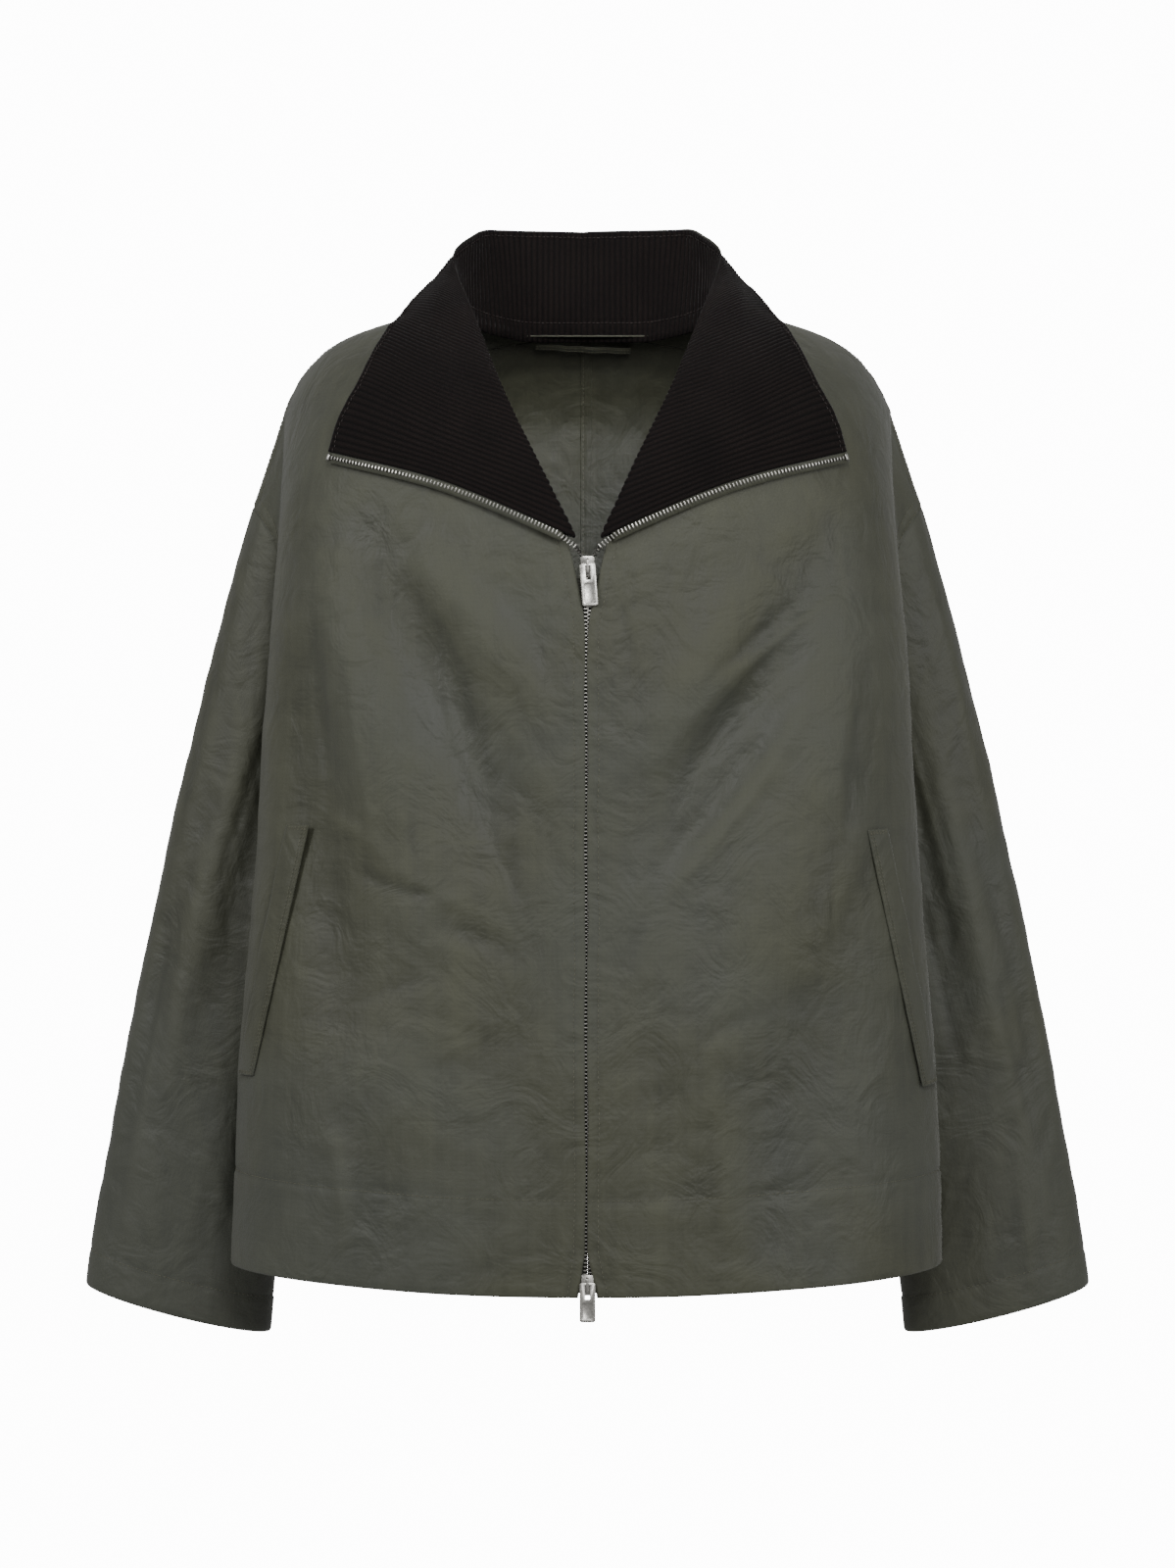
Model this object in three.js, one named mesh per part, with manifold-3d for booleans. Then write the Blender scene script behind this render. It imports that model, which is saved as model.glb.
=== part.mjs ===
// A waxed cotton jacket with a corduroy faced funnel collar, worn open at the neck over a two-way zip.
// Millimetres, +Z up, the front faces -Y and +X is the wearer's left. The jacket is filled out as worn,
// with nobody in it. The origin is the middle of the neck hole at the height of the shoulder line,
// where the wearer's neck and shoulders carry it.
import * as THREE from "three";
import { mergeVertices } from "three/addons/utils/BufferGeometryUtils.js";
import Module from "manifold-3d";

const wasm = await Module();
wasm.setup();

// Cloth and seams
const CLOTH = 1.2; // waxed cotton with its turned edges
const PILE = 2.0; // corduroy over its interlining
const SEAM = 0.35; // gap where two pieces are sewn together
const LEFT = 1;
const RIGHT = -1;

// Shoulder line, shared by the fronts and the backs
const NECK_HALF = 89; // neck hole, from the middle to the neck side
const NECK_Z = 12;
const SHOULDER_X = 198.5; // where the shoulder turns down over the arm
const SHOULDER_Z = -57;
const SHOULDER_SLOPE = 0.435; // share of that drop that is an even slope
const RIDGE_Y = 10;
const NECK_SLOPE = 0.08; // the shoulder line's slope, carried on over the neck hole
const FRONT_ROUND = 90; // drop over which the chest curves back to the shoulder line
const BACK_ROUND = 85;

// Zip
const ZIP_GAP = 1.7; // from the middle to a front edge
const ZIP_SET_BACK = 2.7; // from the outer face of the fronts to the middle of the chain
const SLIDER_Z = -164.5; // middle of the upper slider
const LOWER_SLIDER_Z = -613;
const SLIDER_ROOM = 4.2; // how far the front edges spread round the lower slider
const CHAIN_WIDE = 5.2;
const CHAIN_THICK = 2.1;
const TAPE_WIDE = 11; // from the middle
const TAPE_THICK = 0.7;

const table = (names, rows) => rows.map((row) => Object.fromEntries(names.map((name, i) => [name, row[i]])));

// Ten sections up the body, hem to shoulder line. The section at the underarm is UNDERARM.
const UNDERARM = 3;
const FRONT = table(
  ["edgeX", "edgeZ", "depth", "turnX", "turnY", "turnZ"],
  // inner edge (zip line, then the V of the neck); chest; fold that hangs in front of the arm
  [
    [ZIP_GAP, -621, -140, 231, -18, -610],
    [ZIP_GAP, -505, -138, 226.5, -20, -497],
    [ZIP_GAP, -415, -135, 219.5, -22, -407],
    [ZIP_GAP, -340, -133, 213.5, -24, -333],
    [ZIP_GAP, -275, -132, 209.5, -25, -265],
    [ZIP_GAP, -212, -130, 205, -25, -200],
    [10.5, -156, -127, 200.5, -21, -142],
    [38.5, -97, -122, 198.5, -12, -100],
    [64, -44, -117, 198, -1, -74],
    [NECK_HALF, NECK_Z, -112, SHOULDER_X, RIDGE_Y, SHOULDER_Z],
  ],
);
const BACK = table(
  ["edgeX", "edgeZ", "depth", "turnX", "turnY", "turnZ"],
  // inner edge (centre back, then the back neck); spine; turn beside the hanging sleeve
  [
    [0.2, -612, 128, 192, 48, -611],
    [0.2, -499, 124, 187, 50, -498],
    [0.2, -409, 120, 182, 52, -408],
    [0.2, -334, 118, 181, 58, -334],
    [0.2, -250, 117, 185, 82, -268],
    [0.2, -165, 118, 189, 92, -200],
    [0.2, -80, 119, 192, 86, -142],
    [0.2, 0.6, 119, 196, 62, -100],
    [50, 0.3, 116, 198, 34, -74],
    [NECK_HALF, NECK_Z, 112, SHOULDER_X, RIDGE_Y, SHOULDER_Z],
  ],
);
const SEAMS = table(
  ["frontX", "frontY", "frontZ", "backX", "backY", "backZ"],
  // the side seam up to the underarm, then the armhole's front and back arcs
  [
    [194, 12, -609, 194, 12, -609],
    [184, 17, -496, 184, 17, -496],
    [176, 22, -406, 176, 22, -406],
    [182, 26, -335, 182, 26, -335],
    [185, 4, -272, 190, 60, -272],
    [191, -6, -207, 197, 75, -207],
    [201, -9, -150, 206, 70, -158],
    [211, -5, -131, 213, 50, -133],
    [216.5, 3, -123, 217, 30, -123],
    [219, 11, -119, 219, 11, -119],
  ],
);

// Reads a table at t from 0 to 1 with smooth, never overshooting curves between its rows.
function section(rows, t) {
  const last = rows.length - 1;
  const at = THREE.MathUtils.clamp(t, 0, 1) * last;
  const i = Math.min(Math.floor(at), last - 1);
  const f = at - i;
  const rise = (key, k) => rows[k + 1][key] - rows[k][key];
  const slope = (key, k) => {
    if (k === 0) return rise(key, 0);
    if (k === last) return rise(key, last - 1);
    const before = rise(key, k - 1);
    const after = rise(key, k);
    return before * after <= 0 ? 0 : (2 * before * after) / (before + after);
  };
  const row = {};
  for (const key of Object.keys(rows[0])) {
    const start = rows[i][key];
    const step = rise(key, i);
    const s0 = slope(key, i);
    const s1 = slope(key, i + 1);
    row[key] = start + f * (s0 + f * (3 * step - 2 * s0 - s1 + f * (s0 + s1 - 2 * step)));
  }
  return row;
}

// How far the shoulder line has come down at a share of its way out: an even slope, then a turn.
const shoulderFall = (out) => SHOULDER_SLOPE * out + (1 - SHOULDER_SLOPE) * out ** 6;

// Height of the shoulder line above a point x out from the middle.
function ridgeZ(x) {
  if (x < NECK_HALF) return NECK_Z + (NECK_HALF - x) * NECK_SLOPE;
  return NECK_Z + (SHOULDER_Z - NECK_Z) * shoulderFall((x - NECK_HALF) / (SHOULDER_X - NECK_HALF));
}

const TURN_AT = 0.8; // share of a panel's width that lies before its fold
const ROUNDNESS = 2.3; // of the chest seen from above; 2 is an ellipse

// Height of a panel's row above the point x out, between its inner edge and its fold.
function rowZ(row, v, x) {
  const share = THREE.MathUtils.clamp((x - row.edgeX) / (row.turnX - row.edgeX), 0, 1);
  const fall = THREE.MathUtils.lerp(share ** (2 + v), shoulderFall(share), THREE.MathUtils.smoothstep(v, 0.6, 1));
  return row.edgeZ + (row.turnZ - row.edgeZ) * fall;
}

function rowY(row, round, x, z) {
  const under = THREE.MathUtils.clamp((ridgeZ(x) - z) / round, 0, 1);
  const middle = RIDGE_Y + (row.depth - RIDGE_Y) * Math.sqrt(1 - (1 - under) ** 2);
  const out = Math.min(x / row.turnX, 1);
  return row.turnY + (middle - row.turnY) * (1 - out ** ROUNDNESS) ** (1 / ROUNDNESS);
}

// A point of a front or back panel: v runs from the hem to the shoulder line, u from the inner
// edge round the fold to the side seam or armhole. It is the wearer's left, and side mirrors it.
function panelPoint(which, side, v, u) {
  const front = which === FRONT;
  const row = section(which, v);
  const seam = section(SEAMS, v);
  const end =
    front || v <= UNDERARM / (SEAMS.length - 1)
      ? new THREE.Vector3(seam.frontX, seam.frontY, seam.frontZ)
      : new THREE.Vector3(seam.backX, seam.backY, seam.backZ);
  let point;
  if (u <= TURN_AT) {
    const spread = front ? Math.max(0, 1 - v / 0.026) * SLIDER_ROOM : 0;
    const first = Math.asin((row.edgeX + spread) / row.turnX);
    const angle = first + (Math.PI / 2 - first) * (u / TURN_AT);
    const x = row.turnX * Math.sin(angle);
    const z = rowZ(row, v, x);
    point = new THREE.Vector3(x, rowY(row, front ? FRONT_ROUND : BACK_ROUND, x, z), z);
  } else {
    const turn = new THREE.Vector3(row.turnX, row.turnY, row.turnZ);
    const reach = (front ? 0.04 : -0.25) * turn.distanceTo(end) * (1 - v ** 4);
    const lead = turn.clone().lerp(end, front ? 0.6 : 0).add(new THREE.Vector3(0, reach, 0));
    point = new THREE.QuadraticBezierCurve3(turn, lead, end).getPoint((u - TURN_AT) / (1 - TURN_AT));
  }
  point.x *= side;
  return point;
}

// Large folds of the fronts and backs: soft ridges (height above 0) and troughs along a line.
const FOLD_NAMES = ["x0", "z0", "x1", "z1", "width", "height"];
const FRONT_FOLDS = {
  [RIGHT]: table(FOLD_NAMES, [
    [150, -120, 22, -380, 22, -4.5],
    [110, -150, 12, -270, 18, 3.5],
    [170, -150, 70, -470, 26, 3.5],
    [190, -200, 150, -480, 22, -3.5],
    [120, -430, 60, -600, 34, 3],
  ]),
  [LEFT]: table(FOLD_NAMES, [
    [160, -130, 30, -370, 24, -4.5],
    [120, -170, 25, -300, 20, 3],
    [185, -190, 90, -480, 28, 3.5],
    [150, -420, 110, -610, 30, -3],
  ]),
};
const BACK_FOLDS = {
  [RIGHT]: table(FOLD_NAMES, [
    [150, -110, 60, -420, 26, 4],
    [110, -160, 100, -600, 26, -4],
    [30, -60, 45, -360, 24, -3],
  ]),
  [LEFT]: table(FOLD_NAMES, [
    [155, -130, 80, -470, 28, 4],
    [120, -200, 120, -610, 24, -4],
    [25, -90, 55, -420, 22, -3],
  ]),
};

// How far the folds lift the cloth at x and z. Each fades in and out along its line.
function foldHeight(folds, x, z) {
  let height = 0;
  for (const fold of folds) {
    const dx = fold.x1 - fold.x0;
    const dz = fold.z1 - fold.z0;
    const along = ((x - fold.x0) * dx + (z - fold.z0) * dz) / (dx * dx + dz * dz);
    const across = ((x - fold.x0) * dz - (z - fold.z0) * dx) / Math.hypot(dx, dz);
    const fade = Math.sin(Math.PI * THREE.MathUtils.clamp(along, 0, 1)) ** 0.7;
    height += fold.height * fade * Math.exp(-((across / fold.width) ** 2));
  }
  return height;
}

// Unit normals of a grid of points, from its neighbours. wrap joins the last column to the first.
function gridNormals(points, wrap = false) {
  const rows = points.length;
  const columns = points[0].length;
  const at = (j, i) =>
    points[THREE.MathUtils.clamp(j, 0, rows - 1)][
      wrap ? (i + columns) % columns : THREE.MathUtils.clamp(i, 0, columns - 1)
    ];
  return points.map((row, j) =>
    row.map((_, i) => {
      const across = at(j, i + 1).clone().sub(at(j, i - 1));
      const up = at(j + 1, i).clone().sub(at(j - 1, i));
      return across.cross(up).normalize();
    }),
  );
}

// Turns all the normals of a grid so that they point away from a line inside the garment.
function faceAwayFrom(centreAt, points, normals) {
  let sum = 0;
  points.forEach((row, j) =>
    row.forEach((point, i) => (sum += point.clone().sub(centreAt(point)).dot(normals[j][i]))),
  );
  if (sum < 0) normals.forEach((row) => row.forEach((normal) => normal.negate()));
  return normals;
}

const moved = (points, normals, distance) =>
  points.map((row, j) => row.map((point, i) => point.clone().addScaledVector(normals[j][i], distance)));

// A closed wall between an outer and an inner grid of points. The two may have different numbers
// of columns, and the rims then join the nearer ones. wrap makes it a tube.
function wall(outer, inner, wrap = false) {
  const positions = [];
  const index = (grid) => grid.map((row) => row.map((p) => positions.push(p.x, p.y, p.z) / 3 - 1));
  const out = index(outer);
  const back = index(inner);
  const faces = [];
  const sheet = (grid, flip) => {
    const columns = grid[0].length;
    const count = wrap ? columns : columns - 1;
    for (let j = 0; j < grid.length - 1; j++)
      for (let i = 0; i < count; i++) {
        const k = (i + 1) % columns;
        const [a, b, c, d] = [grid[j][i], grid[j][k], grid[j + 1][k], grid[j + 1][i]];
        faces.push(...(flip ? [a, c, b, a, d, c] : [a, b, c, a, c, d]));
      }
  };
  const rim = (first, second, flip) => {
    let i = 0;
    let k = 0;
    while (i < first.length - 1 || k < second.length - 1) {
      const stepFirst = (i + 1) * (second.length - 1) <= (k + 1) * (first.length - 1);
      const face = stepFirst ? [first[i], second[k], first[i + 1]] : [first[i], second[k], second[k + 1]];
      if (stepFirst) i++;
      else k++;
      faces.push(...(flip ? [face[0], face[2], face[1]] : face));
    }
  };
  const around = (row) => (wrap ? [...row, row[0]] : row);
  const column = (grid, i) => grid.map((row) => row.at(i));
  sheet(out, false);
  sheet(back, true);
  rim(around(out[0]), around(back[0]), false);
  rim(around(out.at(-1)), around(back.at(-1)), true);
  if (!wrap) {
    rim(column(out, 0), column(back, 0), true);
    rim(column(out, -1), column(back, -1), false);
  }
  const geometry = new THREE.BufferGeometry();
  geometry.setAttribute("position", new THREE.Float32BufferAttribute(positions, 3));
  geometry.setIndex(faces);
  return facingOut(geometry);
}

// The same closed geometry with its faces turned outwards, if they point inwards.
function facingOut(geometry) {
  const p = geometry.getAttribute("position");
  const index = geometry.index.array;
  const corner = (k) => new THREE.Vector3().fromBufferAttribute(p, index[k]);
  let volume = 0;
  for (let f = 0; f < index.length; f += 3) volume += corner(f).dot(corner(f + 1).cross(corner(f + 2)));
  if (volume < 0) for (let f = 0; f < index.length; f += 3) [index[f], index[f + 1]] = [index[f + 1], index[f]];
  return geometry;
}

// Materials
const finish = (color, roughness, metalness = 0) => new THREE.MeshStandardMaterial({ color, roughness, metalness });
const waxedCotton = finish(0x4b4c3d, 0.62);
const corduroy = finish(0x231b1a, 0.9);
const tapeCloth = finish(0x3a3b2e, 0.8);
const nickel = finish(0xc9c8c2, 0.28, 1);

const jacket = new THREE.Group();
function add(name, geometry, material) {
  const mesh = new THREE.Mesh(geometry, material);
  mesh.name = name;
  jacket.add(mesh);
  return mesh;
}

// Rows and columns of the body panels. The rows crowd together towards the shoulder line.
const LOWER_ROWS = 9;
const UPPER_ROWS = 11;
const ARC_COLUMNS = 11;
const TURN_COLUMNS = 3;
const underarmV = UNDERARM / (FRONT.length - 1);
const rowV = [];
for (let j = 0; j <= LOWER_ROWS; j++) rowV.push(j < 3 ? 0.013 * j : (underarmV * (j - 2)) / (LOWER_ROWS - 2));
for (let j = 1; j <= UPPER_ROWS; j++) rowV.push(underarmV + (1 - underarmV) * (1 - (1 - j / UPPER_ROWS) ** 1.4));
const columnU = [];
for (let i = 0; i <= ARC_COLUMNS; i++) columnU.push((TURN_AT * i) / ARC_COLUMNS);
for (let i = 1; i <= TURN_COLUMNS; i++) columnU.push(TURN_AT + ((1 - TURN_AT) * i) / TURN_COLUMNS);

const bodyMiddle = (point) => new THREE.Vector3(0, 0, Math.min(point.z, -100));

// A front or back panel's outer points with its folds, which die away at every seam.
function panelGrid(which, side) {
  const folds = (which === FRONT ? FRONT_FOLDS : BACK_FOLDS)[side];
  const plain = rowV.map((v) => columnU.map((u) => panelPoint(which, side, v, u)));
  const normals = faceAwayFrom(bodyMiddle, plain, gridNormals(plain));
  return plain.map((row, j) =>
    row.map((point, i) => {
      const still = Math.min(1, 5 * columnU[i]) * Math.min(1, 4 * Math.max(0, 1.02 * TURN_AT - columnU[i]));
      const calm = still * Math.min(1, 6 * (1 - rowV[j]));
      return point.addScaledVector(normals[j][i], calm * foldHeight(folds, Math.abs(point.x), point.z));
    }),
  );
}

// The sleeve hangs from the armhole to its cuff. The cuff is an oval tilted across the arm.
const CUFF = { x: 271, y: 45, z: -647, outX: 61, outZ: 15.5, halfThick: 33, droop: 3 };
const SLEEVE_ROWS = 13;
const SLEEVE_BOW = 9; // how far the arm's outer line swells past a straight one
const SLEEVE_TUCK = 9; // how far the body's front fold presses the sleeve in below the arm
const SLEEVE_FOLDS = table(
  // turn round the sleeve in degrees from the inside, over the front; share of its length
  ["turn", "from", "to", "width", "height"],
  [
    [95, 0.02, 0.6, 16, -4],
    [125, 0.05, 0.75, 15, 4],
    [150, 0.3, 0.95, 14, -3],
    [235, 0.05, 0.7, 16, 4],
    [270, 0.1, 0.9, 18, -4],
  ],
);

// The armhole as a closed curve, read by share of its length from the underarm over the front.
function armholeCurve(side) {
  const steps = 60;
  const arc = (x, y, z, from, to) =>
    Array.from({ length: steps + 1 }, (_, k) => {
      const seam = section(SEAMS, from + ((to - from) * k) / steps);
      return new THREE.Vector3(side * seam[x], seam[y], seam[z]);
    });
  const front = arc("frontX", "frontY", "frontZ", underarmV, 1);
  const back = arc("backX", "backY", "backZ", 1, underarmV);
  const shares = (points, first) => {
    const lengths = [0];
    for (let k = 1; k < points.length; k++) lengths.push(lengths[k - 1] + points[k].distanceTo(points[k - 1]));
    return lengths.map((length) => first + (0.5 * length) / lengths.at(-1));
  };
  const points = [...front, ...back.slice(1)];
  const places = [...shares(front, 0), ...shares(back, 0.5).slice(1)];
  const pointAt = (share) => {
    const wanted = THREE.MathUtils.euclideanModulo(share, 1);
    const k = Math.max(1, places.findIndex((place) => place >= wanted));
    const f = (wanted - places[k - 1]) / (places[k] - places[k - 1]);
    return points[k - 1].clone().lerp(points[k], f);
  };
  const shareOf = (v, back) => {
    const k = ((v - underarmV) / (1 - underarmV)) * steps;
    const at = back ? 2 * steps - k : k;
    const low = Math.min(Math.floor(at), 2 * steps - 1);
    return places[low] + (places[low + 1] - places[low]) * (at - low);
  };
  return { pointAt, shareOf };
}

function cuffPoint(side, share) {
  const angle = 2 * Math.PI * share;
  const droop = CUFF.droop * Math.max(0, Math.sin(angle));
  return new THREE.Vector3(
    side * (CUFF.x - CUFF.outX * Math.cos(angle)),
    CUFF.y - CUFF.halfThick * Math.sin(angle),
    CUFF.z - CUFF.outZ * Math.cos(angle) - droop,
  );
}

function sleeveGrid(side, frontGrid, backGrid) {
  const hole = armholeCurve(side);
  const top = rowV.length - 1;
  const ring = [];
  for (let j = LOWER_ROWS; j <= top; j++)
    ring.push({ point: frontGrid[j].at(-1).clone(), share: hole.shareOf(rowV[j], false) });
  for (let j = top - 1; j > LOWER_ROWS; j--)
    ring.push({ point: backGrid[j].at(-1).clone(), share: hole.shareOf(rowV[j], true) });
  const plain = [];
  for (let r = 0; r <= SLEEVE_ROWS; r++) {
    const t = r / SLEEVE_ROWS;
    const even = THREE.MathUtils.smoothstep(t, 0, 0.4);
    plain.push(
      ring.map(({ point, share }, k) => {
        if (r === 0) return point;
        const at = share + (k / ring.length - share) * even;
        const bow = SLEEVE_BOW * Math.sin(Math.PI * t) ** 0.75 * 0.5 * (1 - Math.cos(2 * Math.PI * at));
        const tuck = SLEEVE_TUCK * Math.sin(Math.PI * Math.min(1, t / 0.55)) * Math.exp(-(((at - 0.05) / 0.12) ** 2));
        return hole
          .pointAt(at)
          .lerp(cuffPoint(side, at), t)
          .add(new THREE.Vector3(side * (0.8 * tuck + bow), 0.6 * tuck, 0));
      }),
    );
  }
  const middle = (p) => {
    const t = THREE.MathUtils.clamp((p.z + 225) / (CUFF.z + 225), 0, 1);
    return new THREE.Vector3(side * (200 + (CUFF.x - 200) * t), 30 + 15 * t, p.z);
  };
  const normals = faceAwayFrom(middle, plain, gridNormals(plain, true));
  return plain.map((row, r) =>
    row.map((point, k) => {
      const t = r / SLEEVE_ROWS;
      const turn = (360 * k) / ring.length;
      let height = 0;
      for (const fold of SLEEVE_FOLDS) {
        const along = THREE.MathUtils.clamp((t - fold.from) / (fold.to - fold.from), 0, 1);
        height += fold.height * Math.sin(Math.PI * along) * Math.exp(-(((turn - fold.turn) / fold.width) ** 2));
      }
      return point.clone().addScaledVector(normals[r][k], height);
    }),
  );
}

// The body and the sleeves. Where pieces are sewn together they share one normal, so their walls
// meet evenly, and each is drawn back a little from the seam.
const SIDES = { right: RIGHT, left: LEFT };
const panels = {};
for (const [name, side] of Object.entries(SIDES)) {
  const front = panelGrid(FRONT, side);
  const back = panelGrid(BACK, side);
  const sleeve = sleeveGrid(side, front, back);
  const frontNormals = faceAwayFrom(bodyMiddle, front, gridNormals(front));
  const backNormals = faceAwayFrom(bodyMiddle, back, gridNormals(back));
  const sleeveMiddle = (p) => {
    const t = THREE.MathUtils.clamp((p.z + 225) / (CUFF.z + 225), 0, 1);
    return new THREE.Vector3(side * (200 + (CUFF.x - 200) * t), 30 + 15 * t, p.z);
  };
  const sleeveNormals = faceAwayFrom(sleeveMiddle, sleeve, gridNormals(sleeve, true));
  const share = (...normals) => {
    const sum = normals.reduce((total, normal) => total.add(normal), new THREE.Vector3()).normalize();
    normals.forEach((normal) => normal.copy(sum));
  };
  const top = rowV.length - 1;
  const last = columnU.length - 1;
  for (let j = 0; j < LOWER_ROWS; j++) share(frontNormals[j][last], backNormals[j][last]);
  for (let i = 0; i < last; i++) share(frontNormals[top][i], backNormals[top][i]);
  share(frontNormals[top][last], backNormals[top][last], sleeveNormals[0][UPPER_ROWS]);
  for (let j = LOWER_ROWS + 1; j < top; j++) {
    share(frontNormals[j][last], sleeveNormals[0][j - LOWER_ROWS]);
    share(backNormals[j][last], sleeveNormals[0][2 * UPPER_ROWS - (j - LOWER_ROWS)]);
  }
  share(frontNormals[LOWER_ROWS][last], backNormals[LOWER_ROWS][last]);
  for (const normal of [frontNormals[LOWER_ROWS][last], backNormals[LOWER_ROWS][last], sleeveNormals[0][0]])
    normal.add(new THREE.Vector3(0, 0, -1)).normalize();
  const drawBack = (grid, shift) => {
    for (let j = 0; j <= top; j++) grid[j][last].y += shift;
    for (let i = 0; i < last; i++) grid[top][i].y += shift;
  };
  drawBack(front, -SEAM / 2);
  drawBack(back, SEAM / 2);
  for (const point of sleeve[0]) point.add(new THREE.Vector3(side * 0.98, -0.07, -0.16).multiplyScalar(SEAM));
  panels[name] = { front, frontNormals, back, backNormals };
  add("front_" + name, wall(front, moved(front, frontNormals, -CLOTH)), waxedCotton);
  add("back_" + name, wall(back, moved(back, backNormals, -CLOTH)), waxedCotton);
  add("sleeve_" + name, wall(sleeve, moved(sleeve, sleeveNormals, -CLOTH), true), waxedCotton);
}

// Depth of the outer face of a front or back at x out and height z, its folds counted.
function faceY(which, side, x, z) {
  let low = 0;
  let high = 1;
  for (let k = 0; k < 24; k++) {
    const v = (low + high) / 2;
    if (rowZ(section(which, v), v, x) < z) low = v;
    else high = v;
  }
  const row = section(which, low);
  const front = which === FRONT;
  const share = (Math.asin(Math.min(1, x / row.turnX)) / (Math.PI / 2)) * TURN_AT;
  const still = Math.min(1, 5 * share) * Math.min(1, 4 * Math.max(0, 1.02 * TURN_AT - share));
  const fold = still * Math.min(1, 6 * (1 - low)) * foldHeight((front ? FRONT_FOLDS : BACK_FOLDS)[side], x, z);
  return rowY(row, front ? FRONT_ROUND : BACK_ROUND, x, z) + (front ? -fold : fold);
}

// Outward normal of that face.
function faceNormal(which, side, x, z) {
  const step = 2;
  const dx = (faceY(which, side, x + step, z) - faceY(which, side, Math.abs(x - step), z)) / (2 * step);
  const dz = (faceY(which, side, x, z + step) - faceY(which, side, x, z - step)) / (2 * step);
  const normal = which === FRONT ? new THREE.Vector3(dx, -1, dz) : new THREE.Vector3(-dx, 1, -dz);
  return normal.normalize();
}

// The collar. Each row is a line of wales across it, from the centre back round the neck side to
// the zip: its base in the neck seam, the roll, the middle and the outer edge. At the back it
// stands; past the neck side it rolls over and lies on the front as a lapel.
const COLLAR = table(
  ["baseX", "baseY", "baseZ", "rollX", "rollY", "rollZ", "midX", "midY", "midZ", "edgeX", "edgeY", "edgeZ"],
  [
    [0, 73.3, 0, 0, 74.8, 14, 0, 79.5, 42, 0, 84.5, 70],
    [34, 69.2, -0.4, 34, 70.8, 15, 34, 76.2, 43, 34, 82, 70.5],
    [58.5, 57.6, 2.5, 60, 59.2, 19, 62, 64.2, 45, 64, 70, 70],
    [75.3, 41, 7, 76, 42, 24, 76.5, 45, 44, 75.5, 50, 62.5],
    [83.5, 12, 10.5, 85, 12, 33, 87, 17, 45, 88.5, 22, 48],
    [82, -24, 4.5, 79, -29, 17.5, 91.5, -10, 30, 101, 8, 31],
    [78, -60, -12, 70, -74, -6, 96, -48, 11, 113.5, -12, 16],
    [57.6, -104.5, -54, 51.8, -118.8, -53, 97, -97, -36, 133, -60, -18],
    [36.8, -114.2, -97, 31, -126.8, -97, 90, -116, -74, 145.5, -78, -48],
    [24.6, -117.2, -120, 19.4, -130, -122, 89, -119, -95, 157, -83, -70],
    [14.5, -120.5, -144, 8, -132.5, -147, 86, -122, -112.5, 164.5, -88, -90],
    [14.5, -120.5, -150, 9, -132.5, -152.5, 88, -122, -118.5, 166.5, -88, -96.5],
  ],
);
const FACING_END = 10 / 11; // where the corduroy stops short of the zip edge, as a share of the rows
const LAPEL_LIFT = 4.8;

function collarPoint(side, s, v) {
  const row = section(COLLAR, s);
  const points = ["base", "roll", "mid", "edge"].map(
    (part) => new THREE.Vector3(row[part + "X"], row[part + "Y"], row[part + "Z"]),
  );
  const at = v < 0.2 ? v / 0.6 : (1 + (v - 0.2) / 0.4) / 3;
  const point = new THREE.CatmullRomCurve3(points, false, "centripetal").getPoint(at);
  if (v > 0.2 && point.y < RIDGE_Y && point.z < ridgeZ(point.x) - 1) {
    const normal = faceNormal(FRONT, side, point.x, point.z);
    const clear = (faceY(FRONT, side, point.x, point.z) - point.y) * -normal.y;
    const lift = LAPEL_LIFT + 2.4 * v;
    if (clear < lift) point.addScaledVector(normal, lift - clear);
  }
  point.x *= side;
  return point;
}

// Unit normal of the collar on its corduroy side.
function collarNormal(side, s, v) {
  const a = Math.max(0, s - 0.004);
  const b = Math.min(1, s + 0.004);
  const low = Math.max(0, v - 0.02);
  const high = Math.min(1, v + 0.02);
  const along = collarPoint(side, b, v).sub(collarPoint(side, a, v));
  const across = collarPoint(side, s, high).sub(collarPoint(side, s, low));
  const normal = along.cross(across).normalize().multiplyScalar(side);
  if (s < 0.004) normal.setX(0).normalize();
  return normal;
}

// Places along the collar, centre back to facing end, an even distance apart in its middle.
function evenPlaces(count, end) {
  const steps = 120;
  const lengths = [0];
  let before = collarPoint(LEFT, 0, 0.55);
  for (let k = 1; k <= steps; k++) {
    const point = collarPoint(LEFT, (end * k) / steps, 0.55);
    lengths.push(lengths[k - 1] + point.distanceTo(before));
    before = point;
  }
  return Array.from({ length: count + 1 }, (_, i) => {
    const wanted = (lengths.at(-1) * i) / count;
    const k = Math.max(1, lengths.findIndex((length) => length >= wanted - 1e-9));
    return (end / steps) * (k - 1 + (wanted - lengths[k - 1]) / (lengths[k] - lengths[k - 1]));
  });
}

// A grid over the whole collar, from the wearer's right lapel round to the left one, set back
// from the corduroy face by depth, which can depend on the column.
function collarGrid(places, rows, depth) {
  const columns = [...places.slice(1).map((s, i) => [RIGHT, s, i + 1]).reverse(), ...places.map((s, i) => [LEFT, s, i])];
  return rows.map((v) =>
    columns.map(([side, s, i]) => {
      const across = typeof v === "function" ? v(s) : v;
      return collarPoint(side, s, across).addScaledVector(collarNormal(side, s, across), -depth(i));
    }),
  );
}

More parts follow.
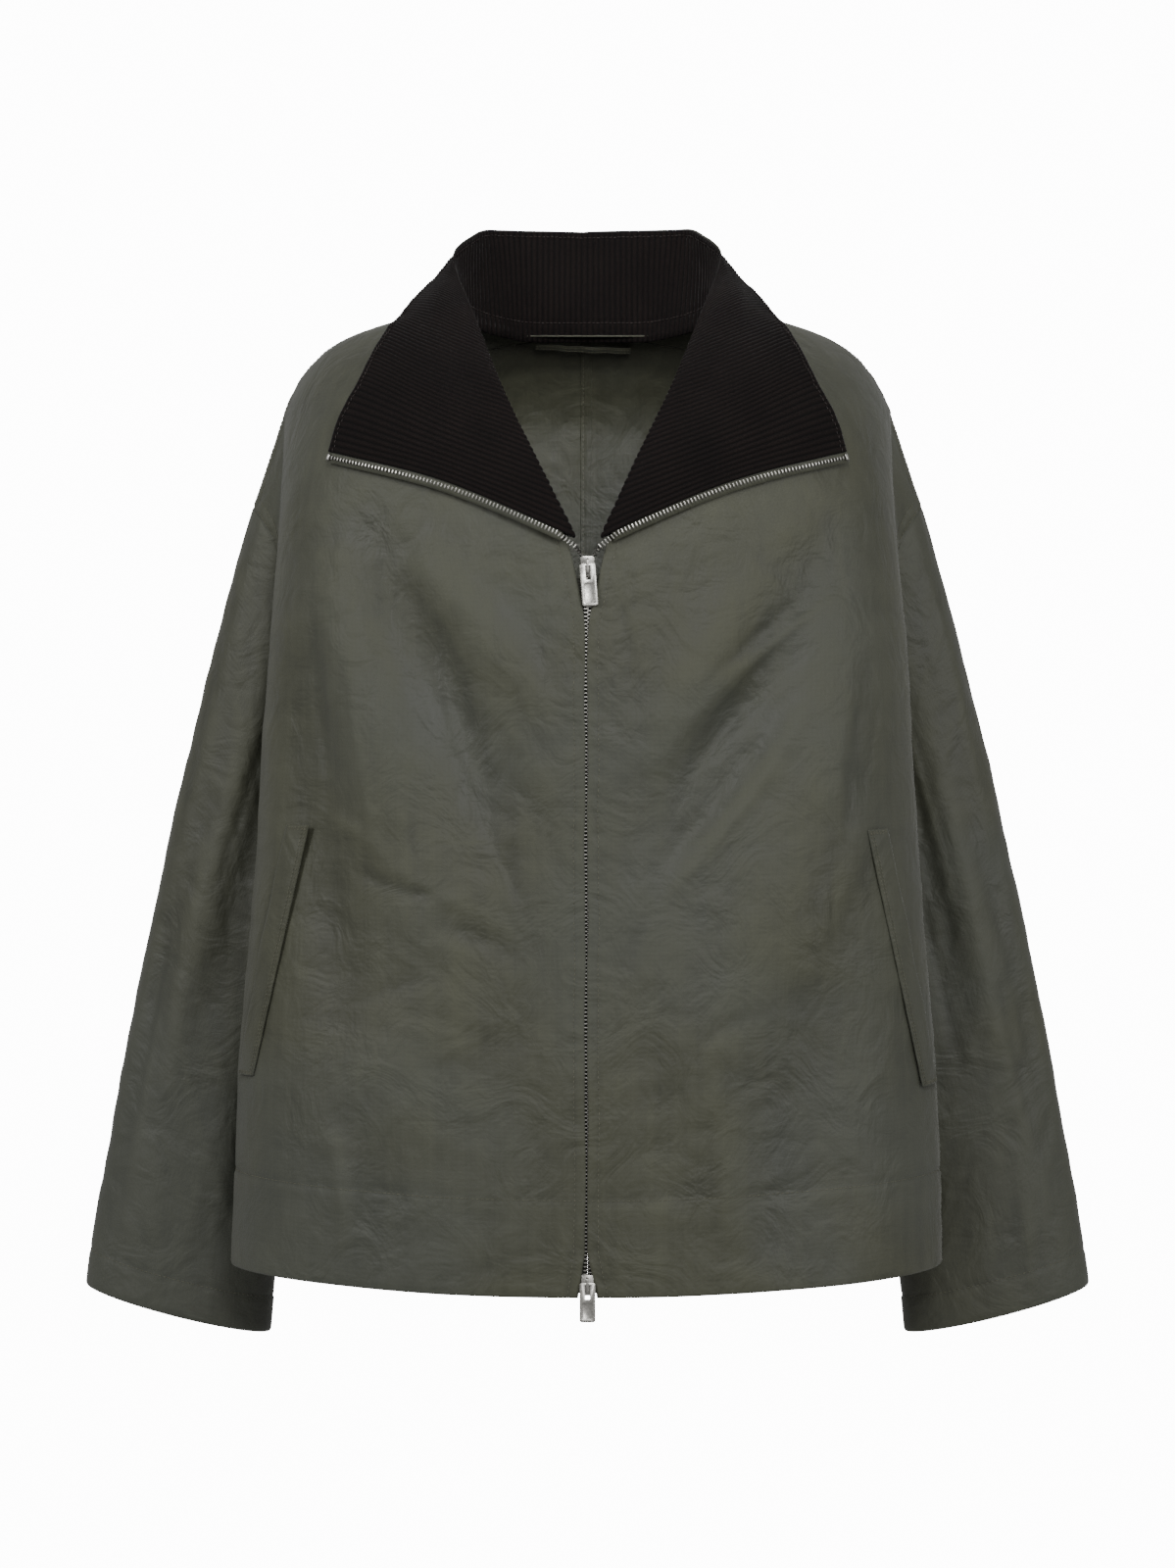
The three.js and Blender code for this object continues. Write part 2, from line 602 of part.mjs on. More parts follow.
// The shell under the corduroy starts at the neck seam, or beside the roll on the lapels. Both
// share their rows from there to the outer edge, so that they lie evenly on each other.
const shellStart = (s) => 0.07 + 0.21 * THREE.MathUtils.smoothstep(s, 0.4, 0.56);
const shellRows = [0, 0.12, 0.3, 0.52, 0.76, 1].map((share) => (s) => shellStart(s) + (1 - shellStart(s)) * share);
const facingRows = [...[0, 0.36, 0.71].map((share) => (s) => share * shellStart(s)), ...shellRows];
const facingPlaces = evenPlaces(24, FACING_END);

const WALES = 94; // on each half of the collar
const WALE_DEPTH = 0.6;
const wales = collarGrid(evenPlaces(2 * WALES, FACING_END), facingRows, (i) => (i % 2 ? WALE_DEPTH : 0));
const facingBack = collarGrid(facingPlaces, facingRows, () => PILE);
add("collar_corduroy", wall(wales, facingBack), corduroy);

const shellPlaces = [...facingPlaces, 1];
const shellTop = collarGrid(shellPlaces, shellRows, () => PILE + SEAM);
const shellUnder = collarGrid(shellPlaces, shellRows, () => PILE + SEAM + CLOTH);
add("collar_shell", wall(shellUnder, shellTop), waxedCotton);

// A closed solid through rings of points, capped at both ends.
function loft(rings) {
  const positions = rings.flat().flatMap((p) => [p.x, p.y, p.z]);
  const n = rings[0].length;
  const faces = [];
  for (let r = 0; r < rings.length - 1; r++)
    for (let i = 0; i < n; i++) {
      const a = r * n + i;
      const b = r * n + ((i + 1) % n);
      faces.push(a, b, b + n, a, b + n, a + n);
    }
  const end = (rings.length - 1) * n;
  for (let i = 1; i < n - 1; i++) faces.push(0, i + 1, i, end, end + i, end + i + 1);
  const geometry = new THREE.BufferGeometry();
  geometry.setAttribute("position", new THREE.Float32BufferAttribute(positions, 3));
  geometry.setIndex(faces);
  return facingOut(geometry);
}

// The four corners of a strip's section, from its middle and its half width and half thickness.
const corners = (middle, across, through) => [
  middle.clone().add(across).add(through),
  middle.clone().sub(across).add(through),
  middle.clone().sub(across).sub(through),
  middle.clone().add(across).sub(through),
];

// Pocket welts: one slanting strip on each front, open along its outer edge
const WELT_THICK = 1.5;
const WELTS = {
  right: { top: [175.5, -327, 190, -327], bottom: [212, -487, 222, -487] },
  left: { top: [176, -330, 189, -329], bottom: [212.5, -494, 222.5, -492] },
};
for (const [name, side] of Object.entries(SIDES)) {
  const { top, bottom } = WELTS[name];
  const rows = 10;
  const columns = 2;
  const face = (lift) =>
    Array.from({ length: rows + 1 }, (_, j) =>
      Array.from({ length: columns + 1 }, (_, i) => {
        const [x0, z0, x1, z1] = top.map((value, k) => value + (bottom[k] - value) * (j / rows));
        const x = x0 + (x1 - x0) * (i / columns);
        const z = z0 + (z1 - z0) * (i / columns);
        const point = new THREE.Vector3(x, faceY(FRONT, side, x, z), z);
        point.addScaledVector(faceNormal(FRONT, side, x, z), lift);
        point.x *= side;
        return point;
      }),
    );
  add("pocket_welt_" + name, wall(face(SEAM + 0.25 + WELT_THICK), face(SEAM + 0.25)), waxedCotton);
}

// Locker loop inside the back neck, sewn down at both ends
const LOOP = { fromX: -35, toX: 29, fromZ: -3.6, toZ: -6.6, wide: 6, thick: 1.1, slack: 1.6 };
const loopRings = Array.from({ length: 13 }, (_, k) => {
  const t = k / 12;
  const x = LOOP.fromX + (LOOP.toX - LOOP.fromX) * t;
  const z = LOOP.fromZ + (LOOP.toZ - LOOP.fromZ) * t ** 2;
  const side = x < 0 ? RIGHT : LEFT;
  const off = CLOTH + 3.2 + LOOP.thick / 2 + LOOP.slack * Math.sin(Math.PI * t);
  const normal = faceNormal(BACK, side, Math.abs(x), z).setX(0).normalize();
  const middle = new THREE.Vector3(x, faceY(BACK, side, Math.abs(x), z), z).addScaledVector(normal, -off);
  const across = new THREE.Vector3(0, -normal.z, normal.y).multiplyScalar(LOOP.wide / 2);
  return corners(middle, across, normal.multiplyScalar(LOOP.thick / 2));
});
add("locker_loop", loft(loopRings), waxedCotton);

// Two-way zip: closed chain and tapes behind the front edges, open chain along the lapels
const chainY = (z) => faceY(FRONT, LEFT, ZIP_GAP, z) + ZIP_SET_BACK;
const POST = 0.8; // where the chain ends under a slider's post, from the slider's middle
const chainRings = Array.from({ length: 21 }, (_, k) => {
  const bottom = LOWER_SLIDER_Z - POST;
  const z = bottom + ((SLIDER_Z + POST - bottom) * k) / 20;
  const across = new THREE.Vector3(CHAIN_WIDE / 2, 0, 0);
  return corners(new THREE.Vector3(0, chainY(z), z), across, new THREE.Vector3(0, CHAIN_THICK / 2, 0));
});
add("zip_chain", loft(chainRings), nickel);

// A strip's section on the shell, between the corduroy and the zip edge. The place counts rows.
const OPEN_WIDE = 3.6;
const OPEN_THICK = 1.7;
function zipEdge(side, at, wide, thick) {
  const last = shellTop[0].length - 1;
  const [inner, outer] = side === LEFT ? [last - 1, last] : [1, 0];
  const j = Math.min(Math.floor(at), shellTop.length - 2);
  const on = (column) => shellTop[j][column].clone().lerp(shellTop[j + 1][column], at - j);
  const across = on(outer).sub(on(inner));
  const run = shellTop[j + 1][inner].clone().sub(shellTop[j][inner]);
  const normal = across.clone().cross(run).normalize().multiplyScalar(side);
  const middle = on(inner).lerp(on(outer), 0.5).addScaledVector(normal, SEAM + 0.1 + thick / 2);
  return corners(middle, across.setLength(wide / 2), normal.multiplyScalar(thick / 2));
}
for (const [name, side] of Object.entries(SIDES)) {
  const tapeRings = Array.from({ length: 21 }, (_, k) => {
    const z = -618 + (446 * k) / 20;
    const from = CHAIN_WIDE / 2 + SEAM;
    const middle = new THREE.Vector3((side * (from + TAPE_WIDE)) / 2, chainY(z), z);
    const across = new THREE.Vector3((TAPE_WIDE - from) / 2, 0, 0);
    return corners(middle, across, new THREE.Vector3(0, TAPE_THICK / 2, 0));
  });
  add("zip_tape_" + name, loft(tapeRings), tapeCloth);

  const into = [
    { at: [3.0, chainY(-160), -160.2], across: [1.2, 0, 0.35], through: [0, -0.8, 0] },
    { at: [4.0, -124.8, -157.4], across: [1.2, 0, -0.4], through: [0, -0.8, 0] },
    { at: [5.6, -128.4, -155.2], across: [1.2, -0.2, -1.1], through: [0, -0.8, -0.1] },
    { at: [7.6, -131.4, -152.4], across: [0.9, 0, -1.55], through: [-0.1, -0.85, 0] },
  ].map(({ at, across, through }) =>
    corners(
      new THREE.Vector3(side * at[0], at[1], at[2]),
      new THREE.Vector3(side * across[0], across[1], across[2]),
      new THREE.Vector3(side * through[0], through[1], through[2]),
    ),
  );
  const along = [0.06, 0.5, 1, 1.5, 2, 2.5, 3, 3.5, 4, 4.5, 4.9].map((at) => zipEdge(side, at, OPEN_WIDE, OPEN_THICK));
  add("zip_chain_" + name, loft([...into, ...along]), nickel);
  add("zip_stop_" + name, loft([4.93, 5].map((at) => zipEdge(side, at, 4.2, 2.3))), nickel);
}

// Sliders and their pull tabs
// A closed geometry as a solid that can be cut and joined.
function asSolid(geometry) {
  geometry.deleteAttribute("normal");
  geometry.deleteAttribute("uv");
  const merged = mergeVertices(geometry);
  const triVerts = Uint32Array.from(merged.index.array);
  const vertProperties = merged.getAttribute("position").array;
  return new wasm.Manifold(new wasm.Mesh({ numProp: 3, vertProperties, triVerts }));
}
function asGeometry(solid) {
  const { vertProperties, triVerts } = solid.getMesh();
  const geometry = new THREE.BufferGeometry();
  geometry.setAttribute("position", new THREE.Float32BufferAttribute(vertProperties, 3));
  geometry.setIndex([...triVerts]);
  return geometry;
}
const box = (x, y, z, wide, deep, high) => asSolid(new THREE.BoxGeometry(wide, deep, high).translate(x, y, z));

// A plate in the XZ plane from its outline, with its middle at y 0.
function plate(outline, thick) {
  const shape = new THREE.Shape(outline.map(([x, z]) => new THREE.Vector2(x, z)));
  const geometry = new THREE.ExtrudeGeometry(shape, { depth: thick, bevelEnabled: false });
  return asSolid(geometry.translate(0, 0, -thick / 2).rotateX(Math.PI / 2));
}

const SLIDER_THICK = 4.9;
const THROAT = 2.9; // height of the room for the chain inside a slider
const PULL_Y = -3.6; // hinge of a pull tab in its slider's bail, from the slider's middle
const PULL_Z = 0.9;
const PULL_THICK = 1.4;
const WINDOW = { wide: 3, high: 8.8, z: -5.1 }; // hole near the top of a pull tab
const RECESS = { wide: 6.6, deep: 0.7, top: -12, margin: 1.6 };

// A slider with its bail. up is 1 where its wide end faces up, and -1 where it faces down.
function slider(up) {
  const half = [[3.5, -6.4], [4.5, 1], [4.5, 4.4], [2.9, 6.4]];
  const outline = [...half, ...half.map(([x, z]) => [-x, z]).reverse()].map(([x, z]) => [x, z * up]);
  let body = plate(outline, SLIDER_THICK);
  body = body.subtract(box(0, 0, -2.6 * up, 12, THROAT, 8.2));
  for (const x of [-4.3, 4.3]) body = body.subtract(box(x, 0, 4 * up, 6, THROAT, 6));
  const bail = box(0, -3.8, 0, 1.5, 2.9, 9.8).subtract(box(0, -3.55, 0, 3, 2.4, 6.6));
  return asGeometry(body.add(bail));
}
function pullTab(length) {
  const end = -length + 0.8;
  const half = [[4.1, end], [4.9, end + 0.8], [4.9, 0], [4.1, 0.8]];
  const outline = [...half, ...half.map(([x, z]) => [-x, z]).reverse()];
  const recessEnd = end + RECESS.margin;
  const recess = box(0, -PULL_THICK / 2, (recessEnd + RECESS.top) / 2, RECESS.wide, RECESS.deep, RECESS.top - recessEnd);
  const window = box(0, 0, WINDOW.z, WINDOW.wide, 4, WINDOW.high);
  return asGeometry(plate(outline, PULL_THICK).subtract(window).subtract(recess));
}
const LEAN = -4.5; // degrees, so that a hanging tab lies clear of the cloth
const TABS = [
  { name: "top", z: SLIDER_Z, length: 27, turn: -4, up: 1 },
  { name: "bottom", z: LOWER_SLIDER_Z, length: 24.5, turn: 0, up: -1 },
];
for (const { name, z, length, turn, up } of TABS) {
  const y = chainY(z);
  add("slider_" + name, slider(up), nickel).position.set(0, y, z);
  const tab = add("pull_" + name, pullTab(length), nickel);
  tab.position.set(0, y + PULL_Y, z + PULL_Z);
  tab.rotation.set(THREE.MathUtils.degToRad(LEAN), THREE.MathUtils.degToRad(turn), 0, "YXZ");
}

export default jacket;
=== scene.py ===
import math

import bmesh
import bpy
import numpy as np
from mathutils import Matrix, Vector


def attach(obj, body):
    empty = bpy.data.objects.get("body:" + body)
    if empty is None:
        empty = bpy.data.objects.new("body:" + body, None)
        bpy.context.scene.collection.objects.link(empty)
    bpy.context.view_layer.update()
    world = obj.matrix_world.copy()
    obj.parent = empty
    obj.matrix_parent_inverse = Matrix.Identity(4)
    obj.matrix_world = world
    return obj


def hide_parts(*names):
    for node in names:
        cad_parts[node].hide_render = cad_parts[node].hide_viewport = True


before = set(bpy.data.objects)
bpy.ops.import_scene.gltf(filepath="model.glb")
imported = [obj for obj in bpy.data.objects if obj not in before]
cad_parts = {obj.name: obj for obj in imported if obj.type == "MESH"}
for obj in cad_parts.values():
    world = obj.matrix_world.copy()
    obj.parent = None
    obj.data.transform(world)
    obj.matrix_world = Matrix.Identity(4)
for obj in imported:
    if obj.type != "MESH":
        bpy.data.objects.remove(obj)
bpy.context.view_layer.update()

MM = 0.001

# Camera
# It stands level with the middle of the jacket, three metres in front of it, as a studio camera
# on a long lens would, so that the shoulders and the hem show almost without perspective.
CAMERA_BACK = 3.0
CAMERA_HEIGHT = -0.3008
FRAME_HIGH = 1.024  # height of the picture at the middle of the jacket
camera = bpy.data.cameras.new("camera")
camera.sensor_fit = "AUTO"
camera.sensor_width = 36
camera.lens = 36 * CAMERA_BACK / FRAME_HIGH
camera_object = bpy.data.objects.new("camera", camera)
camera_object.location = (0, -CAMERA_BACK, CAMERA_HEIGHT)
camera_object.rotation_euler = (math.radians(90), 0, 0)
bpy.context.scene.collection.objects.link(camera_object)
bpy.context.scene.camera = camera_object


# Floor and studio light
# A pale seamless sweep: a floor that curves up into a wall behind the jacket. Broad soft boxes
# stand to the left, to the right and in front, and a small narrow one shines into the collar.
def paint(code):
    """Linear colour of an sRGB hex code."""
    parts = [int(code[i : i + 2], 16) / 255 for i in (0, 2, 4)]
    return tuple(c / 12.92 if c <= 0.04045 else ((c + 0.055) / 1.055) ** 2.4 for c in parts) + (1,)


MIXED = 2  # a Mix node's colour output


def put(tree, kind, links=None, **settings):
    """Adds a node to a material, with its settings and what its sockets take."""
    node = tree.nodes.new(kind)
    for name, value in settings.items():
        setattr(node, name, value)
    for name, value in (links or {}).items():
        found = [s for s in node.inputs if s.name == name and s.enabled]
        socket = found[0] if found else node.inputs[name]
        if isinstance(value, bpy.types.NodeSocket):
            tree.links.new(value, socket)
        else:
            socket.default_value = value
    return node


def new_material(name):
    material = bpy.data.materials.new(name)
    material.use_nodes = True
    material.node_tree.nodes.clear()
    return material, material.node_tree


FLOOR_Z = -1.05
WALL_Y = 5.2
SWEEP_RADIUS = 0.7
SWEEP_HALF, SWEEP_HIGH = 6, 7.0
PAPER_GLOW = 13.0  # painted glow: behind the jacket the paper gives off light of its own, so that it shows white
paper, tree = new_material("backdrop_paper")
noise = put(tree, "ShaderNodeTexNoise", {"Scale": 3.0, "Detail": 2.0})
greys = {"Factor": noise.outputs["Fac"], "A": paint("F4F4F3"), "B": paint("FAFAFA")}
grey = put(tree, "ShaderNodeMix", greys, data_type="RGBA")
place = put(tree, "ShaderNodeTexCoord").outputs["Object"]
# painted glow: the paper's emission is full within 4.2 m of a point low on the wall behind the jacket and fades
# out by 5.4 m
near = put(tree, "ShaderNodeVectorMath", {0: place, 1: (0, WALL_Y, -0.3)}, operation="DISTANCE")
fade = {"Value": near.outputs["Value"], "From Min": 5.4, "From Max": 4.2, "To Max": PAPER_GLOW}
glow = put(tree, "ShaderNodeMapRange", fade)
shader = put(
    tree,
    "ShaderNodeBsdfPrincipled",
    {
        "Base Color": grey.outputs[MIXED],
        "Roughness": 0.9,
        "Emission Color": (1, 1, 1, 1),
        "Emission Strength": glow.outputs[0],
    },
)
put(tree, "ShaderNodeOutputMaterial", {"Surface": shader.outputs["BSDF"]})
profile = [(-SWEEP_HALF, 0.0)]
for k in range(13):
    turn = math.pi / 2 * k / 12
    y = WALL_Y - SWEEP_RADIUS + SWEEP_RADIUS * math.sin(turn)
    profile.append((y, SWEEP_RADIUS * (1 - math.cos(turn))))
profile.append((WALL_Y, SWEEP_HIGH))
sweep = bpy.data.meshes.new("backdrop")
sweep.from_pydata(
    [(x, y, FLOOR_Z + z) for y, z in profile for x in (-SWEEP_HALF, SWEEP_HALF)],
    [],
    [(2 * k, 2 * k + 1, 2 * k + 3, 2 * k + 2) for k in range(len(profile) - 1)],
)
sweep.materials.append(paper)
for face in sweep.polygons:
    face.use_smooth = True
backdrop = bpy.data.objects.new("backdrop", sweep)
bpy.context.scene.collection.objects.link(backdrop)
backdrop.visible_diffuse = False  # black flags keep its glow off the jacket
backdrop.visible_glossy = False

# name, place, what it points at, size, watts and spread in degrees
for name, place, aim, size, power, spread in [
    ("soft_box_left", (-2.1, -1.9, 0.8), (0, 0, -0.35), 0.8, 36.5, 180),
    ("soft_box_right", (2.2, -1.8, 0.3), (0, 0, -0.35), 1.0, 23, 180),
    ("soft_box_front", (0.35, -2.7, 0.75), (0, 0, -0.3), 0.8, 30.5, 180),
    ("soft_box_collar", (0.0, -1.5, 0.8), (0, 0.09, -0.07), 0.25, 0.115, 9),
]:
    lamp = bpy.data.lights.new(name, "AREA")
    lamp.shape = "SQUARE"
    lamp.size = size
    lamp.energy = power
    lamp.spread = math.radians(spread)
    lamp_object = bpy.data.objects.new(name, lamp)
    lamp_object.location = place
    lamp_object.rotation_euler = (Vector(aim) - Vector(place)).to_track_quat("-Z", "Y").to_euler()
    bpy.context.scene.collection.objects.link(lamp_object)
world = bpy.data.worlds.new("studio")
world.use_nodes = True
world.node_tree.nodes["Background"].inputs["Color"].default_value = (1, 1, 1, 1)
world.node_tree.nodes["Background"].inputs["Strength"].default_value = 0.38
bpy.context.scene.world = world


# Fronts and backs
# Four panels of waxed cotton, sewn at the sides, the shoulders and the centre back. The fronts
# fold round ahead of the arms. The hem is turned up deep and stitched, and each front edge is
# turned in over the zip and topstitched.
CLOTH = 1.2
SEAM = 0.35
NECK_HALF, NECK_Z, NECK_SLOPE = 89, 12, 0.08
SHOULDER_X, SHOULDER_Z, SHOULDER_SLOPE, RIDGE_Y = 198.5, -57, 0.435, 10
ZIP_GAP, SLIDER_ROOM = 1.7, 4.2
TURN_AT, ROUNDNESS, UNDERARM = 0.8, 2.3, 3
LEFT, RIGHT = 1, -1
EDGE_OVER = {RIGHT: 0.15, LEFT: 1.75}  # how far the front edges lie over the zip's rows
SIDES = {"right": RIGHT, "left": LEFT}

# edge x and z, depth of the middle, and the fold's x, y and z, from the hem to the shoulder line
FRONT = np.array([
    [ZIP_GAP, -621, -140, 231, -18, -610],
    [ZIP_GAP, -505, -138, 226.5, -20, -497],
    [ZIP_GAP, -415, -135, 219.5, -22, -407],
    [ZIP_GAP, -340, -133, 213.5, -24, -333],
    [ZIP_GAP, -275, -132, 209.5, -25, -265],
    [ZIP_GAP, -212, -130, 205, -25, -200],
    [10.5, -156, -127, 200.5, -21, -142],
    [38.5, -97, -122, 198.5, -12, -100],
    [64, -44, -117, 198, -1, -74],
    [NECK_HALF, NECK_Z, -112, SHOULDER_X, RIDGE_Y, SHOULDER_Z],
])
BACK = np.array([
    [0.04, -612, 128, 192, 48, -611],
    [0.04, -499, 124, 187, 50, -498],
    [0.04, -409, 120, 182, 52, -408],
    [0.04, -334, 118, 181, 58, -334],
    [0.04, -250, 117, 185, 82, -268],
    [0.04, -165, 118, 189, 92, -200],
    [0.04, -80, 119, 192, 86, -142],
    [0.04, 0.6, 119, 196, 62, -100],
    [50, 0.3, 116, 198, 34, -74],
    [NECK_HALF, NECK_Z, 112, SHOULDER_X, RIDGE_Y, SHOULDER_Z],
])
# side seam, then the armhole's front arc and back arc
SEAMS = np.array([
    [194, 12, -609, 194, 12, -609],
    [184, 17, -496, 184, 17, -496],
    [176, 22, -406, 176, 22, -406],
    [182, 26, -335, 182, 26, -335],
    [185, 4, -272, 190, 60, -272],
    [191, -6, -207, 197, 75, -207],
    [201, -9, -150, 206, 70, -158],
    [211, -5, -131, 213, 50, -133],
    [216.5, 3, -123, 217, 30, -123],
    [219, 11, -119, 219, 11, -119],
])
FOLD_GAIN = 1.7  # folds of the cloth against those of the model's stiffer walls
CREASE_GAIN = 1.3
PANELS = {"front": (FRONT, 90, 0), "back": (BACK, 85, 3)}  # rows, shoulder rounding, seam columns


def between(rows, t):
    """A table's values at t from 0 to 1, on smooth curves that never overshoot its rows."""
    t = np.clip(np.asarray(t, float), 0, 1)
    last = len(rows) - 1
    i = np.minimum((t * last).astype(int), last - 1)
    f = (t * last - i)[..., None]
    rise = np.diff(rows, axis=0)
    slope = np.concatenate([rise[:1], rise[:1].repeat(last - 1, 0), rise[-1:]])
    before, after = rise[:-1], rise[1:]
    total = np.where(before + after == 0, 1, before + after)
    slope[1:-1] = np.where(before * after <= 0, 0, 2 * before * after / total)
    step, s0, s1 = rise[i], slope[i], slope[i + 1]
    return rows[i] + f * (s0 + f * (3 * step - 2 * s0 - s1 + f * (s0 + s1 - 2 * step)))


def soft_step(value, low, high):
    t = np.clip((value - low) / (high - low), 0, 1)
    return t * t * (3 - 2 * t)


def shoulder_fall(out):
    """How far the shoulder line has come down at a share of its way out."""
    return SHOULDER_SLOPE * out + (1 - SHOULDER_SLOPE) * out**6


def ridge_z(x):
    """Height of the shoulder line above a point x out from the middle."""
    out = (x - NECK_HALF) / (SHOULDER_X - NECK_HALF)
    over_neck = NECK_Z + (NECK_HALF - x) * NECK_SLOPE
    return np.where(x < NECK_HALF, over_neck, NECK_Z + (SHOULDER_Z - NECK_Z) * shoulder_fall(out))


def row_z(row, v, x):
    share = np.clip((x - row[..., 0]) / (row[..., 3] - row[..., 0]), 0, 1)
    high = soft_step(v, 0.6, 1)
    fall = share ** (2 + v) * (1 - high) + shoulder_fall(share) * high
    return row[..., 1] + (row[..., 5] - row[..., 1]) * fall


def row_y(row, rounding, x, z):
    under = np.clip((ridge_z(x) - z) / rounding, 0, 1)
    middle = RIDGE_Y + (row[..., 2] - RIDGE_Y) * np.sqrt(1 - (1 - under) ** 2)
    out = np.clip(x / row[..., 3], 0, 1)
    return row[..., 4] + (middle - row[..., 4]) * (1 - out**ROUNDNESS) ** (1 / ROUNDNESS)


def panel_surface(kind, side, v, u):
    """Smooth points of a left panel: v from hem to shoulder, u from its inner edge to its seam."""
    rows, rounding, column = PANELS[kind]
    v, u = np.broadcast_arrays(v, u)
    row = between(rows, v)
    seam = between(SEAMS, v)
    ends = seam[..., column : column + 3]
    below = v <= UNDERARM / (len(SEAMS) - 1)
    ends = np.where(below[..., None], seam[..., :3], ends)
    spread = np.maximum(0, 1 - v / 0.026) * SLIDER_ROOM if kind == "front" else 0
    inner = row[..., 0] + spread
    if kind == "front":
        covers = EDGE_OVER[side] + 0.3 * np.sin(37 * v + side) + 0.2 * np.sin(83 * v + 2)
        inner = inner - covers * (1 - soft_step(v, 0.57, 0.625)) * soft_step(v, 0, 0.03)
    first = np.arcsin(inner / row[..., 3])
    x = row[..., 3] * np.sin(first + (np.pi / 2 - first) * np.minimum(u / TURN_AT, 1))
    z = row_z(row, v, x)
    arc = np.stack([x, row_y(row, rounding, x, z), z], -1)
    turn = row[..., 3:6]
    reach = (0.04 if kind == "front" else -0.25) * np.linalg.norm(ends - turn, axis=-1) * (1 - v**4)
    lead = turn + (ends - turn) * (0.6 if kind == "front" else 0)
    lead = lead + np.stack([0 * reach, reach, 0 * reach], -1)
    t = np.clip((u - TURN_AT) / (1 - TURN_AT), 0, 1)[..., None]
    flank = turn * (1 - t) ** 2 + lead * 2 * t * (1 - t) + ends * t**2
    return np.where((u <= TURN_AT)[..., None], arc, flank)


# Folds: a line from x0, z0 to x1, z1 with a bow, its width and height; troughs are below 0.
# Those of the model come first, then the lesser creases that the waxed cloth has taken.
FOLDS = {
    ("front", RIGHT): [
        (150, -120, 22, -380, 0, 22, -4.5),
        (110, -150, 12, -270, 0, 18, 3.5),
        (170, -150, 70, -470, 0, 26, 3.5),
        (190, -200, 150, -480, 0, 22, -3.5),
        (120, -430, 60, -600, 0, 34, 3),
        (92, -196, 50, -330, -8, 8, -1.5),
        (66, -186, 12, -286, 5, 6, 1.4),
        (52, -290, 12, -372, 6, 7, -1.6),
        (140, -196, 118, -330, 7, 9, 1.3),
        (172, -176, 160, -300, -5, 7, -1.0),
        (24, -170, 14, -232, 3, 4, -1.2),
        (20, -180, 30, -214, -3, 3, 0.9),
        (182, -318, 120, -352, 6, 6, 0.9),
        (150, -352, 86, -372, -4, 5, -0.8),
        (100, -388, 30, -420, 5, 8, -0.9),
        (170, -500, 150, -596, 4, 8, 0.8),
        (88, -470, 82, -590, -6, 9, -0.7),
        (206, -372, 214, -470, 2, 4, -0.8),
        (196, -352, 206, -392, 1, 3, -0.9),
        (199, -398, 213, -424, 1, 3, 0.8),
        (60, -520, 20, -548, 3, 5, 0.5),
    ],
    ("front", LEFT): [
        (160, -130, 30, -370, 0, 24, -4.5),
        (120, -170, 25, -300, 0, 20, 3),
        (185, -190, 90, -480, 0, 28, 3.5),
        (150, -420, 110, -610, 0, 30, -3),
        (150, -178, 62, -262, 6, 7, -1.5),
        (140, -226, 30, -366, -8, 8, -1.6),
        (118, -206, 44, -292, 5, 6, 1.5),
        (16, -176, 26, -238, -3, 4, -1.1),
        (52, -330, 18, -408, 5, 8, 1.0),
        (180, -214, 166, -330, 6, 9, -1.1),
        (176, -300, 140, -404, -6, 10, 1.2),
        (120, -440, 60, -470, 4, 7, -0.7),
        (92, -500, 100, -598, 5, 10, 0.8),
        (40, -450, 46, -560, -4, 9, -0.7),
        (205, -360, 214, -470, 2, 4, -0.7),
        (30, -560, 70, -574, 2, 5, 0.5),
    ],
    ("back", RIGHT): [
        (150, -110, 60, -420, 0, 26, 4),
        (110, -160, 100, -600, 0, 26, -4),
        (30, -60, 45, -360, 0, 24, -3),
        (160, -150, 96, -330, 8, 9, -1.5),
        (132, -240, 84, -470, -9, 10, 1.4),
        (60, -120, 24, -300, 6, 8, 1.1),
        (26, -380, 40, -590, 5, 11, -1.2),
        (150, -420, 140, -600, -6, 10, 1.2),
        (80, -500, 72, -604, 4, 8, -0.9),
    ],
    ("back", LEFT): [
        (155, -130, 80, -470, 0, 28, 4),
        (120, -200, 120, -610, 0, 24, -4),
        (25, -90, 55, -420, 0, 22, -3),
        (150, -120, 70, -300, -8, 8, -1.4),
        (110, -300, 60, -520, 9, 11, 1.5),
        (40, -150, 20, -330, -5, 8, 1.0),
        (60, -420, 70, -600, -6, 10, -1.2),
        (156, -380, 148, -560, 5, 9, -1.1),
        (20, -520, 26, -604, 3, 8, 0.8),
    ],
}


def from_line(x, z, x0, z0, x1, z1, bow):
    """The share of the way along a bowed line, and the distance to one side of it."""
    dx, dz = x1 - x0, z1 - z0
    along = np.clip(((x - x0) * dx + (z - z0) * dz) / (dx * dx + dz * dz), 0, 1)
    across = ((x - x0) * dz - (z - z0) * dx) / math.hypot(dx, dz) - bow * 4 * along * (1 - along)
    return along, across


def fold_height(folds, x, z):
    """How far the folds lift the cloth at x and z. Each fades in and out along its line."""
    height = np.zeros(np.broadcast(x, z).shape)
    for *line, width, lift in folds:
        along, across = from_line(x, z, *line)
        off = np.abs(across) / width
        height += lift * np.sin(np.pi * along) ** 0.7 * np.exp(-(off**2))
    return height


def creases(lines, x, z):
    """Creases with a crisp line on one side that runs out softly on the other."""
    height = np.zeros(np.broadcast(x, z).shape)
    for *line, width, lift in lines:
        along, across = from_line(x, z, *line)
        spread = np.where(across > 0, width, width * 0.32)
        height += lift * np.sin(np.pi * along) ** 0.8 * np.exp(-np.sqrt((across / spread) ** 2 + 0.04) + 0.2)
    return height


